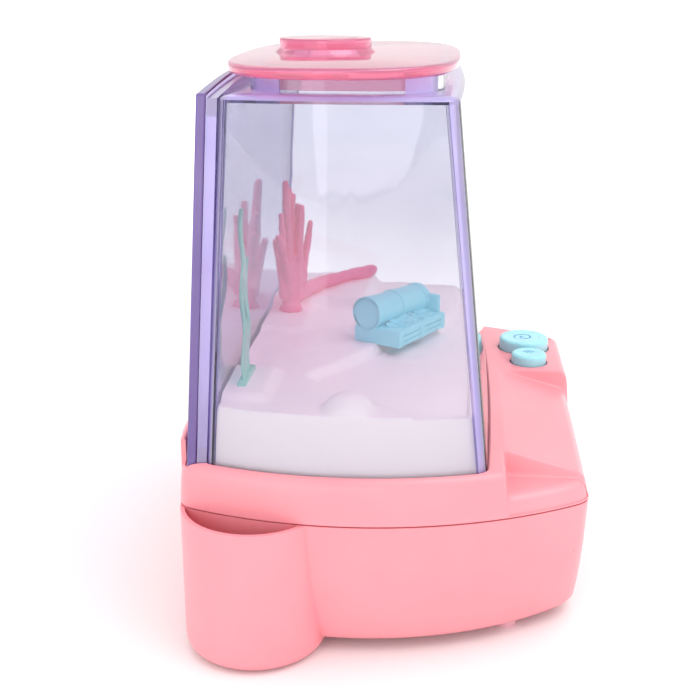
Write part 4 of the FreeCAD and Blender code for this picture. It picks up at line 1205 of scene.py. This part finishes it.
class AQUARIUM_OT_stage(bpy.types.Operator):
    """Sets up the floor, the soft lights and the camera"""
    bl_idname = "aquarium.stage"
    bl_label = "Stage"

    def execute(self, context):
        bpy.ops.mesh.primitive_plane_add(size=60.0)
        floor = named("floor")
        material, tree, coords = blank("matt_paper_sweep")
        fibres = specks(tree, coords, 4.0, 4.0)
        away = add(tree, "ShaderNodeVectorMath", {0: coords}, operation="LENGTH").outputs[1]
        glow = add(tree, "ShaderNodeMapRange", {0: away, 1: 350.0, 2: 1500.0, 3: 0.0, 4: 0.6})
        floor.data.materials.append(skinned(material, tree, {
            "Base Color": shades(tree, fibres, "#f7f7f7", "#fbfbfb"), "Roughness": 0.85,
            "Specular IOR Level": 0.2, "Emission Color": linear("#ffffff"),
            "Emission Strength": glow.outputs[0]}))
        world = bpy.data.worlds.new("studio")
        context.scene.world = world
        world.use_nodes = True
        world.node_tree.nodes["Background"].inputs[0].default_value = linear("#ffffff")
        world.node_tree.nodes["Background"].inputs[1].default_value = 1.0
        for name, place, size, power in STUDIO_LIGHTS:
            bpy.ops.object.light_add(type="AREA", location=place)
            light = bpy.context.object
            light.name = name
            light.data.size = size
            light.data.energy = power
            aim = Vector((0.0, 0.0, 0.1)) - Vector(place)
            light.rotation_euler = aim.to_track_quat("-Z", "Y").to_euler()
        aim = Vector(CAMERA_AIM).to_track_quat("-Z", "Y").to_euler()
        bpy.ops.object.camera_add(location=CAMERA_PLACE, rotation=aim)
        camera = bpy.context.object
        camera.data.lens = CAMERA_LENS
        camera.data.sensor_width = 36.0
        camera.data.clip_start = 0.01
        context.scene.camera = camera
        context.scene.view_settings.view_transform = "Standard"
        return {"FINISHED"}


class AQUARIUM_PT_panel(bpy.types.Panel):
    """Lists the toy's settings and its pieces"""
    bl_label = "Toy Aquarium"
    bl_idname = "AQUARIUM_PT_panel"
    bl_space_type = "VIEW_3D"
    bl_region_type = "UI"
    bl_category = "Aquarium"

    def draw(self, context):
        for name in AquariumSettings.__annotations__:
            self.layout.prop(context.scene.aquarium, name)
        for operator in OPERATORS:
            self.layout.operator(operator.bl_idname)


OPERATORS = (AQUARIUM_OT_tub, AQUARIUM_OT_deck, AQUARIUM_OT_buttons, AQUARIUM_OT_tank, AQUARIUM_OT_lid,
             AQUARIUM_OT_tray, AQUARIUM_OT_seaweed, AQUARIUM_OT_coral, AQUARIUM_OT_chest, AQUARIUM_OT_works,
             AQUARIUM_OT_stage)


def register():
    for item in (AquariumSettings, *OPERATORS, AQUARIUM_PT_panel):
        bpy.utils.register_class(item)
    bpy.types.Scene.aquarium = bpy.props.PointerProperty(type=AquariumSettings)


def unregister():
    del bpy.types.Scene.aquarium
    for item in (AQUARIUM_PT_panel, *reversed(OPERATORS), AquariumSettings):
        bpy.utils.unregister_class(item)


def main():
    register()
    for operator in OPERATORS:
        group, name = operator.bl_idname.split(".")
        result = getattr(getattr(bpy.ops, group), name)()
        if result != {"FINISHED"}:
            raise RuntimeError(operator.bl_label + " could not finish")


if __name__ == "__main__":
    main()
